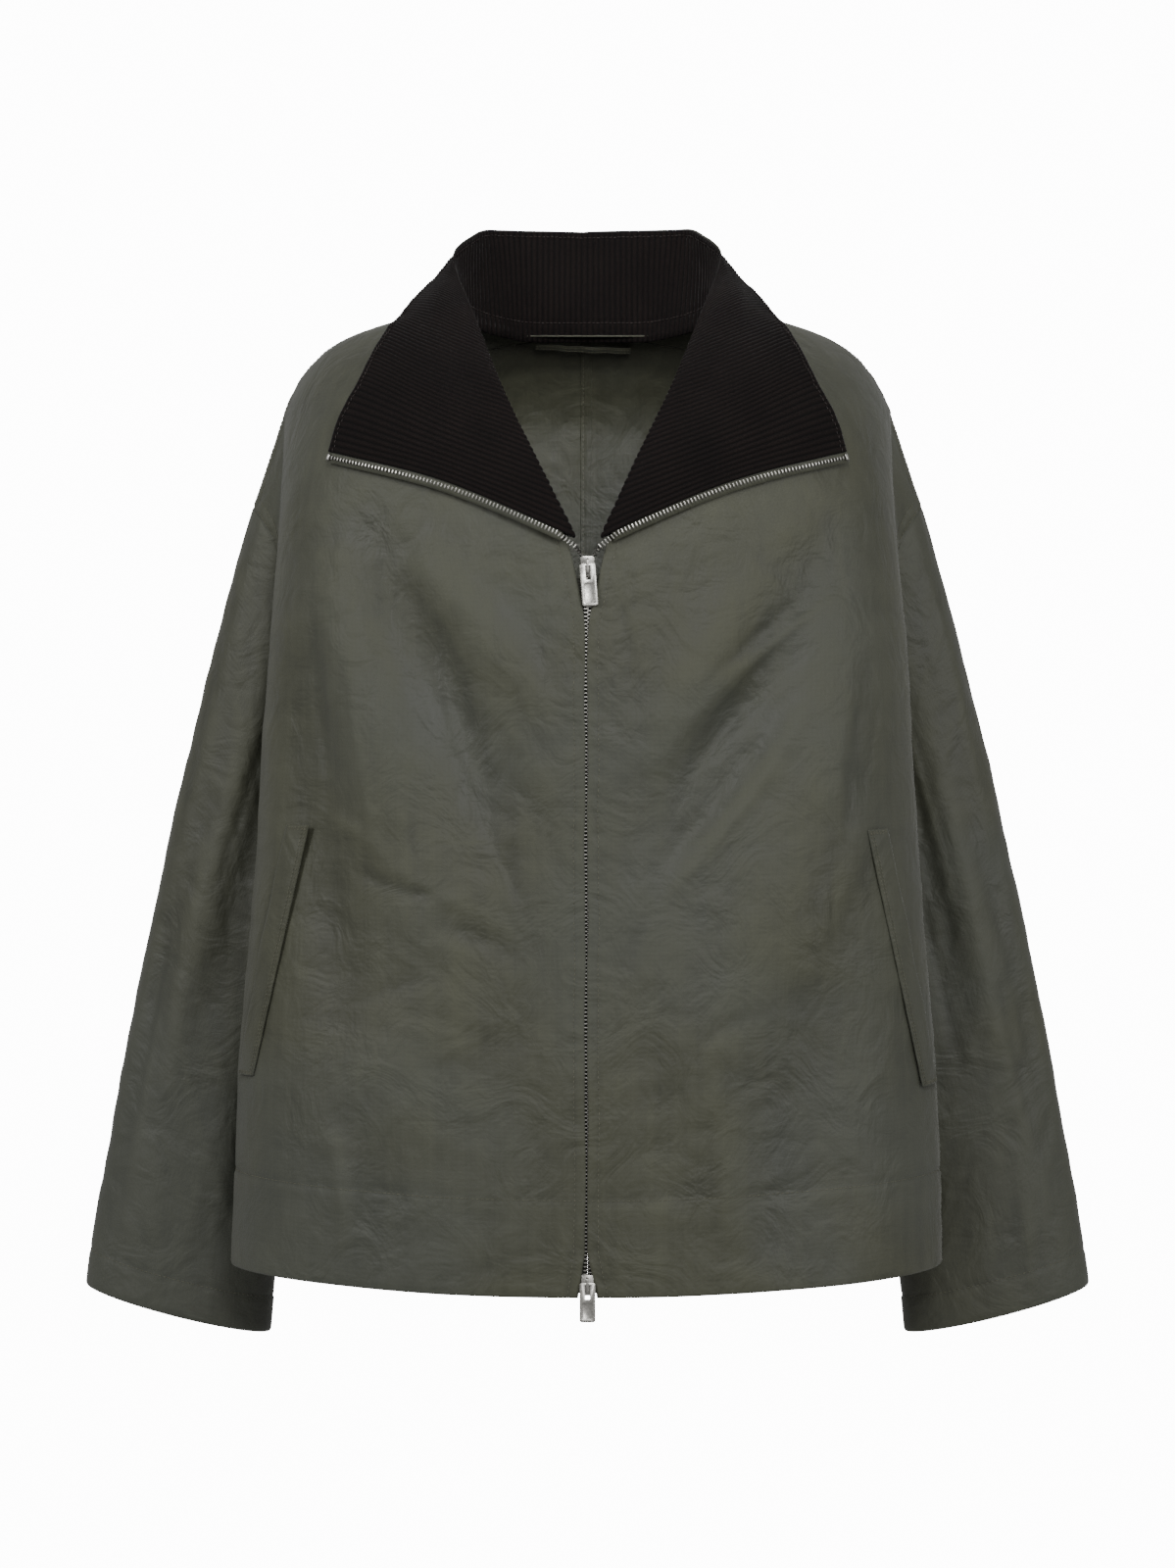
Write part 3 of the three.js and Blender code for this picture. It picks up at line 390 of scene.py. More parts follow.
# Creases, written as folds are: the sharper ones that the wax holds.
CREASES = {
    ("front", RIGHT): [
        (96, -212, 62, -318, -6, 7, 1.6),
        (70, -186, 18, -262, 4, 6, -1.5),
        (60, -214, 26, -276, 2, 4, 1.0),
        (84, -300, 18, -452, 9, 12, -2.2),
        (64, -250, 10, -330, 3, 6, 1.3),
        (128, -250, 104, -420, 6, 8, -1.2),
        (150, -214, 122, -372, -6, 9, 1.2),
        (176, -250, 168, -330, 4, 6, -1.0),
        (30, -168, 16, -214, 2, 4, 1.2),
        (16, -176, 34, -238, -3, 3, -1.0),
        (120, -352, 60, -384, -4, 7, 1.0),
        (60, -378, 34, -410, 3, 6, -1.2),
        (110, -470, 96, -560, 3, 7, 0.8),
        (40, -470, 50, -600, -3, 8, 0.7),
        (160, -520, 156, -604, 3, 6, 0.9),
    ],
    ("front", LEFT): [
        (158, -182, 66, -268, 5, 8, 1.8),
        (150, -214, 58, -306, 6, 7, -1.5),
        (140, -250, 26, -392, -8, 11, 2.0),
        (110, -236, 50, -330, 4, 6, -1.1),
        (18, -172, 36, -236, -3, 4, 1.1),
        (30, -186, 16, -250, 3, 3, -0.9),
        (60, -350, 18, -440, 5, 8, -1.3),
        (170, -236, 158, -340, 5, 7, 1.1),
        (186, -240, 176, -312, 2, 5, -0.9),
        (90, -420, 84, -520, 3, 8, 0.9),
        (130, -470, 128, -600, 3, 7, -0.8),
        (54, -520, 52, -606, 2, 7, 0.8),
    ],
    ("back", RIGHT): [
        (140, -150, 70, -330, 6, 9, 1.8),
        (110, -220, 84, -440, -6, 9, -1.5),
        (60, -150, 26, -360, 5, 8, 1.4),
        (150, -330, 140, -520, 5, 8, 1.2),
        (40, -420, 50, -600, -3, 8, -1.0),
    ],
    ("back", LEFT): [
        (150, -170, 60, -300, -6, 9, -1.6),
        (120, -260, 76, -480, 6, 10, 1.8),
        (54, -190, 34, -400, -4, 8, 1.3),
        (156, -360, 150, -560, 4, 7, -1.1),
        (90, -460, 96, -604, 3, 8, 1.0),
    ],
}


def calm(v, u):
    """Folds die away at every seam."""
    still = np.minimum(1, 5 * u) * np.minimum(1, 4 * np.maximum(0, 1.02 * TURN_AT - u))
    return still * np.minimum(1, 6 * (1 - v))


def face_y(kind, side, x, z):
    """Depth of the outer face of a front or back at x out and height z, its folds counted."""
    rows, rounding, _ = PANELS[kind]
    x, z = np.broadcast_arrays(np.asarray(x, float), np.asarray(z, float))
    low, high = np.zeros(x.shape), np.ones(x.shape)
    for _ in range(24):
        v = (low + high) / 2
        up = row_z(between(rows, v), v, x) < z
        low, high = np.where(up, v, low), np.where(up, high, v)
    row = between(rows, low)
    share = np.arcsin(np.minimum(1, x / row[..., 3])) / (np.pi / 2) * TURN_AT
    fold = calm(low, share) * fold_height(FOLDS[kind, side], x, z)
    return row_y(row, rounding, x, z) + (-fold if kind == "front" else fold)


def face_normal(kind, side, x, z, step=2.0):
    dx = (face_y(kind, side, x + step, z) - face_y(kind, side, np.abs(x - step), z)) / (2 * step)
    dz = (face_y(kind, side, x, z + step) - face_y(kind, side, x, z - step)) / (2 * step)
    one = np.ones(np.shape(dx))
    normal = np.stack([dx, -one, dz] if kind == "front" else [-dx, one, -dz], -1)
    return unit(normal)


def ticks(count, fine):
    """Places from 0 to 1, an even distance apart, with more of them close to both ends."""
    even = np.linspace(0, 1, count + 1)
    inside = even[(even > fine[-1] * 1.3) & (even < 1 - fine[-1] * 1.3)]
    return np.concatenate([fine, inside, 1 - np.array(fine[::-1])])


def grid_normals(points, wrap=False):
    if wrap:
        across = np.roll(points, -1, 1) - np.roll(points, 1, 1)
    else:
        across = np.gradient(points, axis=1)
    up = np.gradient(points, axis=0)
    normal = np.cross(across, up)
    return normal / np.maximum(np.linalg.norm(normal, axis=-1, keepdims=True), 1e-9)


def facing_away(points, normals, middle):
    """The normals, turned to point away from a line inside the garment."""
    return normals if np.sum((points - middle) * normals) > 0 else -normals


def lengths(points, axis):
    """Distance walked over the cloth from the first row or column, in millimetres."""
    steps = np.linalg.norm(np.diff(points, axis=axis), axis=-1)
    start = np.zeros_like(np.take(steps, [0], axis=axis))
    return np.cumsum(np.concatenate([start, steps], axis=axis), axis=axis)


def path_walk(path):
    """Distance walked along a single line of points."""
    return np.concatenate([[0], np.cumsum(np.linalg.norm(np.diff(path, axis=0), axis=1))])


def unit(vectors):
    return vectors / np.linalg.norm(vectors, axis=-1, keepdims=True)


def cloth_piece(name, points, inner, uv, wear_and_shade, material, wrap=False):
    """A closed sheet between outer and inner grids, its weave laid by uv in metres."""
    rows, columns = points.shape[:2]
    count = columns if wrap else columns - 1
    corner = np.arange(rows * columns).reshape(rows, columns)
    j, i = np.meshgrid(np.arange(rows - 1), np.arange(count), indexing="ij")
    k = (i + 1) % columns
    outer = np.stack([corner[j, i], corner[j, k], corner[j + 1, k], corner[j + 1, i]], -1).reshape(-1, 4)
    size = rows * columns
    back = outer[:, ::-1] + size

    def rim(line):
        return np.stack([line[1:], line[:-1], line[:-1] + size, line[1:] + size], -1)

    ring = lambda line: np.concatenate([line, line[:1]]) if wrap else line
    rims = [rim(ring(corner[0])), rim(ring(corner[-1]))[:, ::-1]]
    if not wrap:
        rims += [rim(corner[:, 0])[:, ::-1], rim(corner[:, -1])]
    faces = np.concatenate([outer, back, *rims])
    mesh = bpy.data.meshes.new(name)
    mesh.from_pydata(np.concatenate([points.reshape(-1, 3), inner.reshape(-1, 3)]) * MM, [], faces.tolist())
    flat = np.concatenate([uv.reshape(-1, 2), uv.reshape(-1, 2)])
    layer = mesh.uv_layers.new(name="cloth")
    loops = np.empty(len(mesh.loops), dtype=np.int64)
    mesh.loops.foreach_get("vertex_index", loops)
    layer.data.foreach_set("uv", flat[loops].astype(np.float32).ravel())
    # per point: ridges paler as wear, troughs darker as painted shade, and the corduroy's grooves dark as
    # painted shade
    wear_and_shade_layer = mesh.attributes.new("wear_and_shade", "FLOAT", "POINT")
    wear_and_shade_layer.data.foreach_set("value", np.concatenate([wear_and_shade.ravel(), wear_and_shade.ravel() * 0]).astype(np.float32))
    mesh.polygons.foreach_set("use_smooth", np.ones(len(mesh.polygons), dtype=bool))
    mesh.materials.append(material)
    mesh.update()
    if sum_volume(mesh) < 0:
        mesh.flip_normals()
    piece = bpy.data.objects.new(name, mesh)
    bpy.context.scene.collection.objects.link(piece)
    return piece


def sum_volume(mesh):
    shape = bmesh.new()
    shape.from_mesh(mesh)
    volume = shape.calc_volume(signed=True)
    shape.free()
    return volume


def on_grid(points, row, column):
    """Points of a grid at fractional rows and columns."""
    row = np.clip(row, 0, points.shape[0] - 1.001)
    column = np.clip(column, 0, points.shape[1] - 1.001)
    j, i = row.astype(int), column.astype(int)
    f, g = (row - j)[:, None], (column - i)[:, None]
    low = points[j, i] * (1 - g) + points[j, i + 1] * g
    return low * (1 - f) + (points[j + 1, i] * (1 - g) + points[j + 1, i + 1] * g) * f


STITCH_PITCH, STITCH_LENGTH, THREAD = 3.2, 2.35, 0.52


def sew(name, lines, material, pitch=STITCH_PITCH, length=STITCH_LENGTH, thread=THREAD):
    """Topstitching: a small tapering bar of thread for each stitch on lines of points and normals."""
    ring = np.array([[0, 1], [0.8, 0.45], [0.8, -0.5], [-0.8, -0.5], [-0.8, 0.45]])
    along = [(-0.5, 0.45, -0.35), (-0.28, 1, 0.1), (0.28, 1, 0.1), (0.5, 0.45, -0.35)]
    points, faces = [], []
    n = len(ring)
    for path, normals in lines:
        walked = path_walk(path)
        total = walked[-1]
        for k in range(int(total / pitch)):
            middle = (k + 0.5) * pitch
            spots = []
            for share in (-0.5, 0, 0.5):
                at = middle + share * length
                spots.append(np.array([np.interp(at, walked, path[:, c]) for c in range(3)]))
            normal = np.array([np.interp(middle, walked, normals[:, c]) for c in range(3)])
            run = spots[2] - spots[0]
            size = np.linalg.norm(run)
            if size < 1e-6:
                continue
            run = run / size
            side = np.cross(run, normal)
            side /= np.linalg.norm(side)
            up = np.cross(side, run)
            start = len(points)
            for share, scale, lift in along:
                for a, b in ring:
                    section = side * a * scale + up * (b * scale * 0.7 + lift + 0.35)
                    points.append(spots[1] + run * share * length + section * thread / 2)
            for r in range(3):
                near, far = start + r * n, start + (r + 1) * n
                for c in range(n):
                    d = (c + 1) % n
                    faces.append([near + c, near + d, far + d, far + c])
            faces.append([start + c for c in reversed(range(n))])
            faces.append([start + 3 * n + c for c in range(n)])
    mesh = bpy.data.meshes.new(name)
    mesh.from_pydata(np.array(points) * MM, [], faces)
    mesh.materials.append(material)
    mesh.polygons.foreach_set("use_smooth", np.ones(len(mesh.polygons), dtype=bool))
    mesh.update()
    if sum_volume(mesh) < 0:
        mesh.flip_normals()
    piece = bpy.data.objects.new(name, mesh)
    bpy.context.scene.collection.objects.link(piece)
    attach(piece, "jacket")


def pucker(walked, seed):
    """Uneven small gathers along a line of stitching."""
    short = np.sin(walked / 2.1 + seed)
    middle = 0.8 * np.sin(walked / 3.4 + 2.3 * seed)
    broad = 0.6 * np.sin(walked / 5.3 + 1.7 * seed)
    return (short + middle + broad) / 2.4


THREAD_WAVES = 1000 / 1.5 / 20 * math.pi  # a Wave texture's scale for 1.5 mm from thread to thread


def waxed_cotton(name, dark, light, sheen_grey):
    """Densely woven cotton, dyed in the yarn and proofed with wax. The wax gives it a low, uneven shine,
    painted sheen as a grey veil in broad clouds, faint streaks down the warp, a paler tone where folds have
    rubbed it, and painted shade that darkens the troughs of its folds."""
    material, tree = new_material(name)
    place = put(tree, "ShaderNodeTexCoord").outputs["Object"]
    cloth = put(tree, "ShaderNodeUVMap", uv_map="cloth").outputs["UV"]
    wear_and_shade = put(tree, "ShaderNodeAttribute", attribute_name="wear_and_shade").outputs["Fac"]
    clouds = []
    for scale, detail, roughness, distortion in (
        (5.5, 2.0, 0.5, 0.4),
        (11.0, 4.0, 0.55, 0.5),
        (70.0, 4.0, 0.7, 1.2),
        (26.0, 3.0, 0.55, 1.4),
    ):
        cloud = {"Scale": scale, "Detail": detail, "Roughness": roughness, "Distortion": distortion}
        clouds.append(put(tree, "ShaderNodeTexNoise", {"Vector": place, **cloud}).outputs["Fac"])
    sheen_clouds, broad, fine, rumple = clouds
    drips = put(tree, "ShaderNodeMapping", {"Vector": place, "Scale": (140.0, 140.0, 12.0)})
    streaks = put(tree, "ShaderNodeTexNoise", {"Vector": drips.outputs["Vector"], "Scale": 1.0, "Detail": 3.0})
    # the tone adds paler fold ridges, as wear, and darker fold troughs, as painted shade
    tone = 0.0
    for cause, weight in ((broad, 0.4), (fine, 0.25), (streaks.outputs["Fac"], 0.35), (wear_and_shade, 0.12)):
        tone = put(tree, "ShaderNodeMath", {0: cause, 1: weight, 2: tone}, operation="MULTIPLY_ADD").outputs[0]
    ramp = put(tree, "ShaderNodeValToRGB", {"Fac": tone})
    stops = ramp.color_ramp.elements
    stops[0].position, stops[0].color = 0.3, paint(dark)
    stops[1].position, stops[1].color = 0.72, paint(light)
    # painted sheen: in broad clouds a grey-blue veil is mixed into the colour, standing in for the wax's shine
    sheen_share = put(tree, "ShaderNodeMapRange", {"Value": sheen_clouds, "From Min": 0.42, "From Max": 0.62, "To Max": 0.45})
    painted_sheen = {"Factor": sheen_share.outputs[0], "A": ramp.outputs["Color"], "B": paint(sheen_grey)}
    tone_with_painted_sheen_and_shade = put(tree, "ShaderNodeMix", painted_sheen, data_type="RGBA")

    # warp and weft: threads half a millimetre apart, drawn three times as coarse so that they show
    threads = []
    for turn, spread in ((0.0, 0.3), (math.pi / 2, 0.45)):
        run = put(tree, "ShaderNodeMapping", {"Vector": cloth, "Rotation": (0, 0, turn)})
        wave = {"Vector": run.outputs["Vector"], "Scale": THREAD_WAVES, "Distortion": spread, "Detail": 1.0}
        threads.append(put(tree, "ShaderNodeTexWave", wave).outputs["Fac"])
    weft = put(tree, "ShaderNodeMath", {0: threads[0], 1: threads[1]}, operation="ADD")
    slubs = put(tree, "ShaderNodeMapping", {"Vector": cloth, "Scale": (600.0, 70.0, 1.0)})
    slub = put(tree, "ShaderNodeTexNoise", {"Vector": slubs.outputs["Vector"], "Scale": 1.0, "Detail": 2.0})
    yarn = put(tree, "ShaderNodeMath", {0: slub.outputs["Fac"], 1: 0.7}, operation="MULTIPLY")
    both = {0: weft.outputs[0], 1: 0.5, 2: yarn.outputs[0]}
    shade = put(tree, "ShaderNodeMath", both, operation="MULTIPLY_ADD").outputs[0]
    faint = {"Value": shade, "From Min": 0.3, "From Max": 1.4, "To Min": 0.975, "To Max": 1.025}
    grain = put(tree, "ShaderNodeMapRange", faint)
    woven = {"Factor": 1.0, "A": tone_with_painted_sheen_and_shade.outputs[MIXED], "B": grain.outputs[0]}
    colour = put(tree, "ShaderNodeMix", woven, data_type="RGBA", blend_type="MULTIPLY")

    # creases too small to model: cracks of the wax, and a soft crumple a few centimetres across
    cells = {"Vector": place, "Scale": 38.0, "Randomness": 1.0}
    cracks = put(tree, "ShaderNodeTexVoronoi", cells, feature="DISTANCE_TO_EDGE")
    crack = put(tree, "ShaderNodeMapRange", {"Value": cracks.outputs["Distance"], "From Max": 0.22}).outputs[0]
    bump = put(tree, "ShaderNodeBump", {"Height": rumple, "Distance": 0.004, "Strength": 0.55}).outputs[0]
    for relief, deep, strength in ((crack, 0.0006, 0.25), (fine, 0.0012, 0.35), (shade, 0.00014, 0.22)):
        ridges = {"Height": relief, "Distance": deep, "Strength": strength, "Normal": bump}
        bump = put(tree, "ShaderNodeBump", ridges).outputs[0]
    waxy = {"Value": tone, "From Min": 0.3, "From Max": 0.7, "To Min": 0.5, "To Max": 0.66}
    rough = put(tree, "ShaderNodeMapRange", waxy)
    shader = put(
        tree,
        "ShaderNodeBsdfPrincipled",
        {
            "Base Color": colour.outputs[MIXED],
            "Roughness": rough.outputs[0],
            "IOR": 1.45,
            "Sheen Weight": 0.12,
            "Sheen Roughness": 0.45,
            "Normal": bump,
        },
    )
    put(tree, "ShaderNodeOutputMaterial", {"Surface": shader.outputs["BSDF"]})
    return material


body_cloth = waxed_cotton("waxed_cotton_body", "35362A", "48493A", "40433F")
thread_green, tree = new_material("cotton_thread")
# Twisted cotton sewing thread, olive and a little paler than the cloth.
place = put(tree, "ShaderNodeTexCoord").outputs["Object"]
noise = put(tree, "ShaderNodeTexNoise", {"Vector": place, "Scale": 300.0, "Detail": 2.0})
greens = {"Factor": noise.outputs["Fac"], "A": paint("2E2E26"), "B": paint("6E6D5B")}
colour = put(tree, "ShaderNodeMix", greens, data_type="RGBA")
twist = put(tree, "ShaderNodeBump", {"Height": noise.outputs["Fac"], "Distance": 0.0002, "Strength": 0.5})
spun = {"Base Color": colour.outputs[MIXED], "Roughness": 0.55, "Normal": twist.outputs["Normal"]}
shader = put(tree, "ShaderNodeBsdfPrincipled", spun)
put(tree, "ShaderNodeOutputMaterial", {"Surface": shader.outputs["BSDF"]})

HEM_STITCH = 61  # above the hem
FRONT_STITCH = 7  # from a front edge
FELL = (1.7, 7.8)  # two rows beside a felled seam
CELL = 3.05  # of the cloth's grid
UNDERARM_V = UNDERARM / (len(SEAMS) - 1)


def even_steps(values, walked, cell, fine=(0.3, 0.9, 1.8)):
    """Places whose distances along a line are a cell apart, with finer ones beside both ends."""
    total = walked[-1]
    inside = np.linspace(0, total, round(total / cell) + 1)[2:-2]
    marks = np.concatenate([[0], fine, inside, total - np.array(fine)[::-1], [total]])
    return np.interp(marks, walked, values)


fold_line = np.linspace(0, 1, 400)
fold_walk = np.concatenate([[0], np.cumsum(np.abs(np.diff(between(FRONT, fold_line)[:, 5])))])
under_mark = np.interp(UNDERARM_V, fold_line, fold_walk)
lower = even_steps(fold_line[fold_line <= UNDERARM_V + 1e-9], fold_walk[fold_line <= UNDERARM_V + 1e-9], CELL)
lower = np.append(lower[:-1][lower[:-1] < UNDERARM_V - 0.002], UNDERARM_V)
upper_line = np.linspace(UNDERARM_V, 1, 300)
upper_walk = np.interp(upper_line, fold_line, fold_walk) - under_mark
ROW_V = np.concatenate([lower, even_steps(upper_line, upper_walk, CELL)[1:]])
UNDER_ROW = len(lower) - 1


def dip(distance, deep, wide):
    """How far cloth sinks beside an edge or a row of stitches."""
    return -deep * np.exp(-((distance / wide) ** 2))


def crumple(x, z, seed, wide):
    """Slack in the cloth: long waves that drift across each other, none of them repeating."""
    a = x / wide + 0.7 * np.sin(z / (wide * 2.3) + seed)
    b = z / (wide * 1.9) + 0.9 * np.sin(x / (wide * 1.4) + 2 * seed)
    cross = 0.6 * np.sin(1.9 * a - 0.8 * b + 3 * seed) * np.sin(0.6 * b + seed)
    return (np.sin(a + seed) * np.sin(b * 1.3) + cross) / 1.6


def panel_relief(kind, side, points, v, u):
    """Folds, hem, seams and the pull of the stitches, as a height on the panel."""
    x, z = np.abs(points[..., 0]), points[..., 2]
    walk = lengths(points, 1)
    rise = lengths(points, 0)
    inner, outer = walk, walk[:, -1:] - walk
    up, down = rise, rise[-1:] - rise
    still = calm(v, u)
    folds = FOLD_GAIN * fold_height(FOLDS[kind, side], x, z)
    height = still * (folds + CREASE_GAIN * creases(CREASES[kind, side], x, z))
    loose = np.minimum(1, inner / 40) * np.minimum(1, outer / 40) * np.minimum(1, down / 50)
    height += loose * (0.9 * crumple(x, z, 1.3 + side, 21) + 0.35 * crumple(z, x, 4.1 - side, 8.5))
    # the hem is two layers thick, so it stands proud below its stitches and waves a little
    height += 0.3 * soft_step(HEM_STITCH - up, 0, 1.5) + dip(up - HEM_STITCH, 0.55, 1.6) + dip(up, 0.7, 0.9)
    height += 0.3 * np.exp(-(((up - HEM_STITCH + 5) / 7) ** 2)) * pucker(walk, 2 + side)
    height += 0.8 * np.exp(-((up / 70) ** 2)) * np.sin(walk / 27 + side) * np.minimum(1, inner / 60)
    if kind == "front":
        height += dip(inner - FRONT_STITCH, 0.75, 1.4) + dip(inner, 0.6, 0.8)
        height += 0.32 * np.exp(-(((inner - FRONT_STITCH) / 5) ** 2)) * pucker(rise, 5 + side)
    else:
        height += 0.35 * soft_step(9 - inner, 0, 1.5) + dip(inner - FELL[1], 0.4, 1.2) + dip(inner, 0.5, 1.0)
        height += 0.22 * np.exp(-((inner / 9) ** 2)) * pucker(rise, 7)
    # felled side seam and armhole, and the shoulder seam
    for gap, run, seed in ((outer, rise, 3), (down, walk, 4)):
        height += 0.4 * soft_step(9.4 - gap, 0, 1.6) + dip(gap, 0.75, 1.1)
        height += dip(gap - FELL[0], 0.25, 0.9) + dip(gap - FELL[1], 0.42, 1.1)
        height += 0.3 * np.exp(-(((gap - 5) / 7) ** 2)) * pucker(run, seed + side)
    return height


def wear_and_shade_of(height):
    """Ridges above, and troughs below, the cloth around them, from -1 to 1. The cloth's colour takes ridges
    paler, as wear, and troughs darker, as painted shade.
    """
    soft = height.copy()
    for _ in range(30):
        soft[1:-1, 1:-1] = (soft[:-2, 1:-1] + soft[2:, 1:-1] + soft[1:-1, :-2] + soft[1:-1, 2:]) / 4
    return np.clip((height - soft) * 1.6, -1, 1)


panels = {}
for side_name, side in SIDES.items():
    for kind in ("front", "back"):
        probe_u = np.linspace(0, 1, 300)
        probe = panel_surface(kind, side, np.full(300, 0.42), probe_u)
        u = even_steps(probe_u, path_walk(probe), CELL)[None, :]
        v = ROW_V[:, None]
        smooth = panel_surface(kind, side, v, u)
        smooth[..., 0] *= side
        middle = np.stack([0 * smooth[..., 0], 0 * smooth[..., 0], np.minimum(smooth[..., 2], -100)], -1)
        normals = facing_away(smooth, grid_normals(smooth), middle)
        height = panel_relief(kind, side, smooth, v, u)
        points = smooth + normals * height[..., None]
        shift = -SEAM / 2 if kind == "front" else SEAM / 2
        points[:, -1, 1] += shift
        points[-1, :-1, 1] += shift
        normals = facing_away(points, grid_normals(points), middle)
        panels[kind, side] = {"points": points, "normals": normals, "height": height}

    # where two panels are sewn together they share their normals, so their thickness meets evenly
    front, back = panels["front", side], panels["back", side]
    shared = unit(front["normals"][: UNDER_ROW + 1, -1] + back["normals"][: UNDER_ROW + 1, -1])
    front["normals"][: UNDER_ROW + 1, -1] = shared
    back["normals"][: UNDER_ROW + 1, -1] = shared
    front["normals"][-1, :-1] = unit(front["normals"][-1, :-1] + [0, 0, 0.4])

for (kind, side), panel in panels.items():
    side_name = "left" if side == LEFT else "right"
    points = panel["points"]
    across, up = lengths(points, 1), lengths(points, 0)
    uv = np.stack([across, up], -1) * MM
    inner = points - panel["normals"] * CLOTH
    # paler ridges as wear and darker troughs as painted shade
    wear_and_shade = wear_and_shade_of(panel["height"])
    piece = cloth_piece(f"{kind}_{side_name}_cloth", points, inner, uv, wear_and_shade, body_cloth)
    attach(piece, "jacket")
    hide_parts(f"{kind}_{side_name}")
    width, length = float(across.max()) * MM, float(up.max()) * MM


def seam_rows(panel, distance, from_far, axis, keep=slice(None), lift=0.0):
    """A row of stitches on a panel, a distance from one of its edges."""
    points, normals = panel["points"], panel["normals"]
    walk = lengths(points, axis)
    if from_far:
        walk = (walk[:, -1:] if axis else walk[-1:]) - walk
    lines = walk if axis else walk.T
    found = []
    for line in lines:
        places = np.arange(len(line))
        if from_far:
            line, places = line[::-1], places[::-1]
        found.append(np.interp(distance, line, places))
    found = np.array(found)[keep]
    steps = np.arange(len(lines))[keep].astype(float)
    row, column = (steps, found) if axis else (found, steps)
    path = on_grid(points, row, column)
    out = on_grid(normals, row, column)
    return path + out * lift, out


def reach_of(panel, axis, low, high):
    """The rows (axis 0) or columns (axis 1) that keep these distances from the first and last."""
    walk = lengths(panel["points"], axis)
    line = walk[:, 3] if axis == 0 else walk[len(walk) // 3]
    total = line[-1]
    return np.nonzero((line >= low) & (line <= total - high))[0]


front_lines, hem_lines, back_lines, fell_lines = [], [], [], []
for (kind, side), panel in panels.items():
    rows = reach_of(panel, 0, 2, 4)
    columns = reach_of(panel, 1, 1.5, 3)
    hem_lines.append(seam_rows(panel, HEM_STITCH, False, 0, columns))
    if kind == "front":
        front_lines.append(seam_rows(panel, FRONT_STITCH, False, 1, rows[rows < len(ROW_V) * 0.9]))
    else:
        back_lines.append(seam_rows(panel, FELL[1], False, 1, rows))
        back_lines.append(seam_rows(panel, FELL[0], False, 1, rows))
    for gap in FELL:
        fell_lines.append(seam_rows(panel, gap, True, 1, rows))
        fell_lines.append(seam_rows(panel, gap, True, 0, columns))
sew("stitching_front_edges", front_lines, thread_green)
sew("stitching_hem", hem_lines, thread_green)
sew("stitching_centre_back", back_lines, thread_green)
sew("stitching_felled_seams", fell_lines, thread_green)

# Centre back seam, inside
# The folded edge of the wearer's left back lies flat over the seam and is sewn down on the right
# back. It is the body's waxed cotton, and its stitching shows in the neck.
FELL_EDGES = [  # which back, and how far from the seam
    (RIGHT, 5.0),
    (RIGHT, 4.2),
    (RIGHT, 3.0),
    (RIGHT, 1.6),
    (RIGHT, 0.4),
    (LEFT, 0.5),
    (LEFT, 1.8),
    (LEFT, 2.6),
    (LEFT, 3.0),
]
FELL_THICK, FELL_CLEAR = 0.8, 0.25
inside = panels["back", RIGHT]["points"][:, 0, 2]
rows = np.nonzero((inside < 0.5) & (inside > -600))[0]
under, over = [], []
for side, distance in FELL_EDGES:
    edge = panels["back", side]
    under.append(seam_rows(edge, distance, False, 1, rows, lift=-CLOTH - FELL_CLEAR)[0])
    path, out = seam_rows(edge, distance, False, 1, rows, lift=-CLOTH - FELL_CLEAR - FELL_THICK)
    gather = pucker(np.arange(len(rows)) * CELL, 3)[:, None]
    path = path + out * 0.3 * gather * (0.2 + 0.8 * (side == LEFT))
    over.append(path)
over, under = np.stack(over, 1), np.stack(under, 1)
uv = np.stack([lengths(over, 1), lengths(over, 0)], -1) * MM
piece = cloth_piece("centre_back_felled_edge", over, under, uv, np.zeros(over.shape[:2]), body_cloth)
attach(piece, "jacket")
out = -seam_rows(panels["back", RIGHT], 3.0, False, 1, rows)[1]
sew("stitching_centre_back_inside", [(over[:, 2], out)], thread_green)


# Sleeves
# One piece of the same cloth a side, set into the armhole and felled down. It hangs nearly straight,
# tucked in behind the front below the arm, with long soft folds, and its cuff is turned up once.
CUFF = {"x": 271, "y": 45, "z": -647, "out_x": 61, "out_z": 15.5, "half_thick": 33, "droop": 3}
SLEEVE_BOW, SLEEVE_TUCK, SLEEVE_LENGTH = 9, 9, 470
CUFF_STITCH = 24
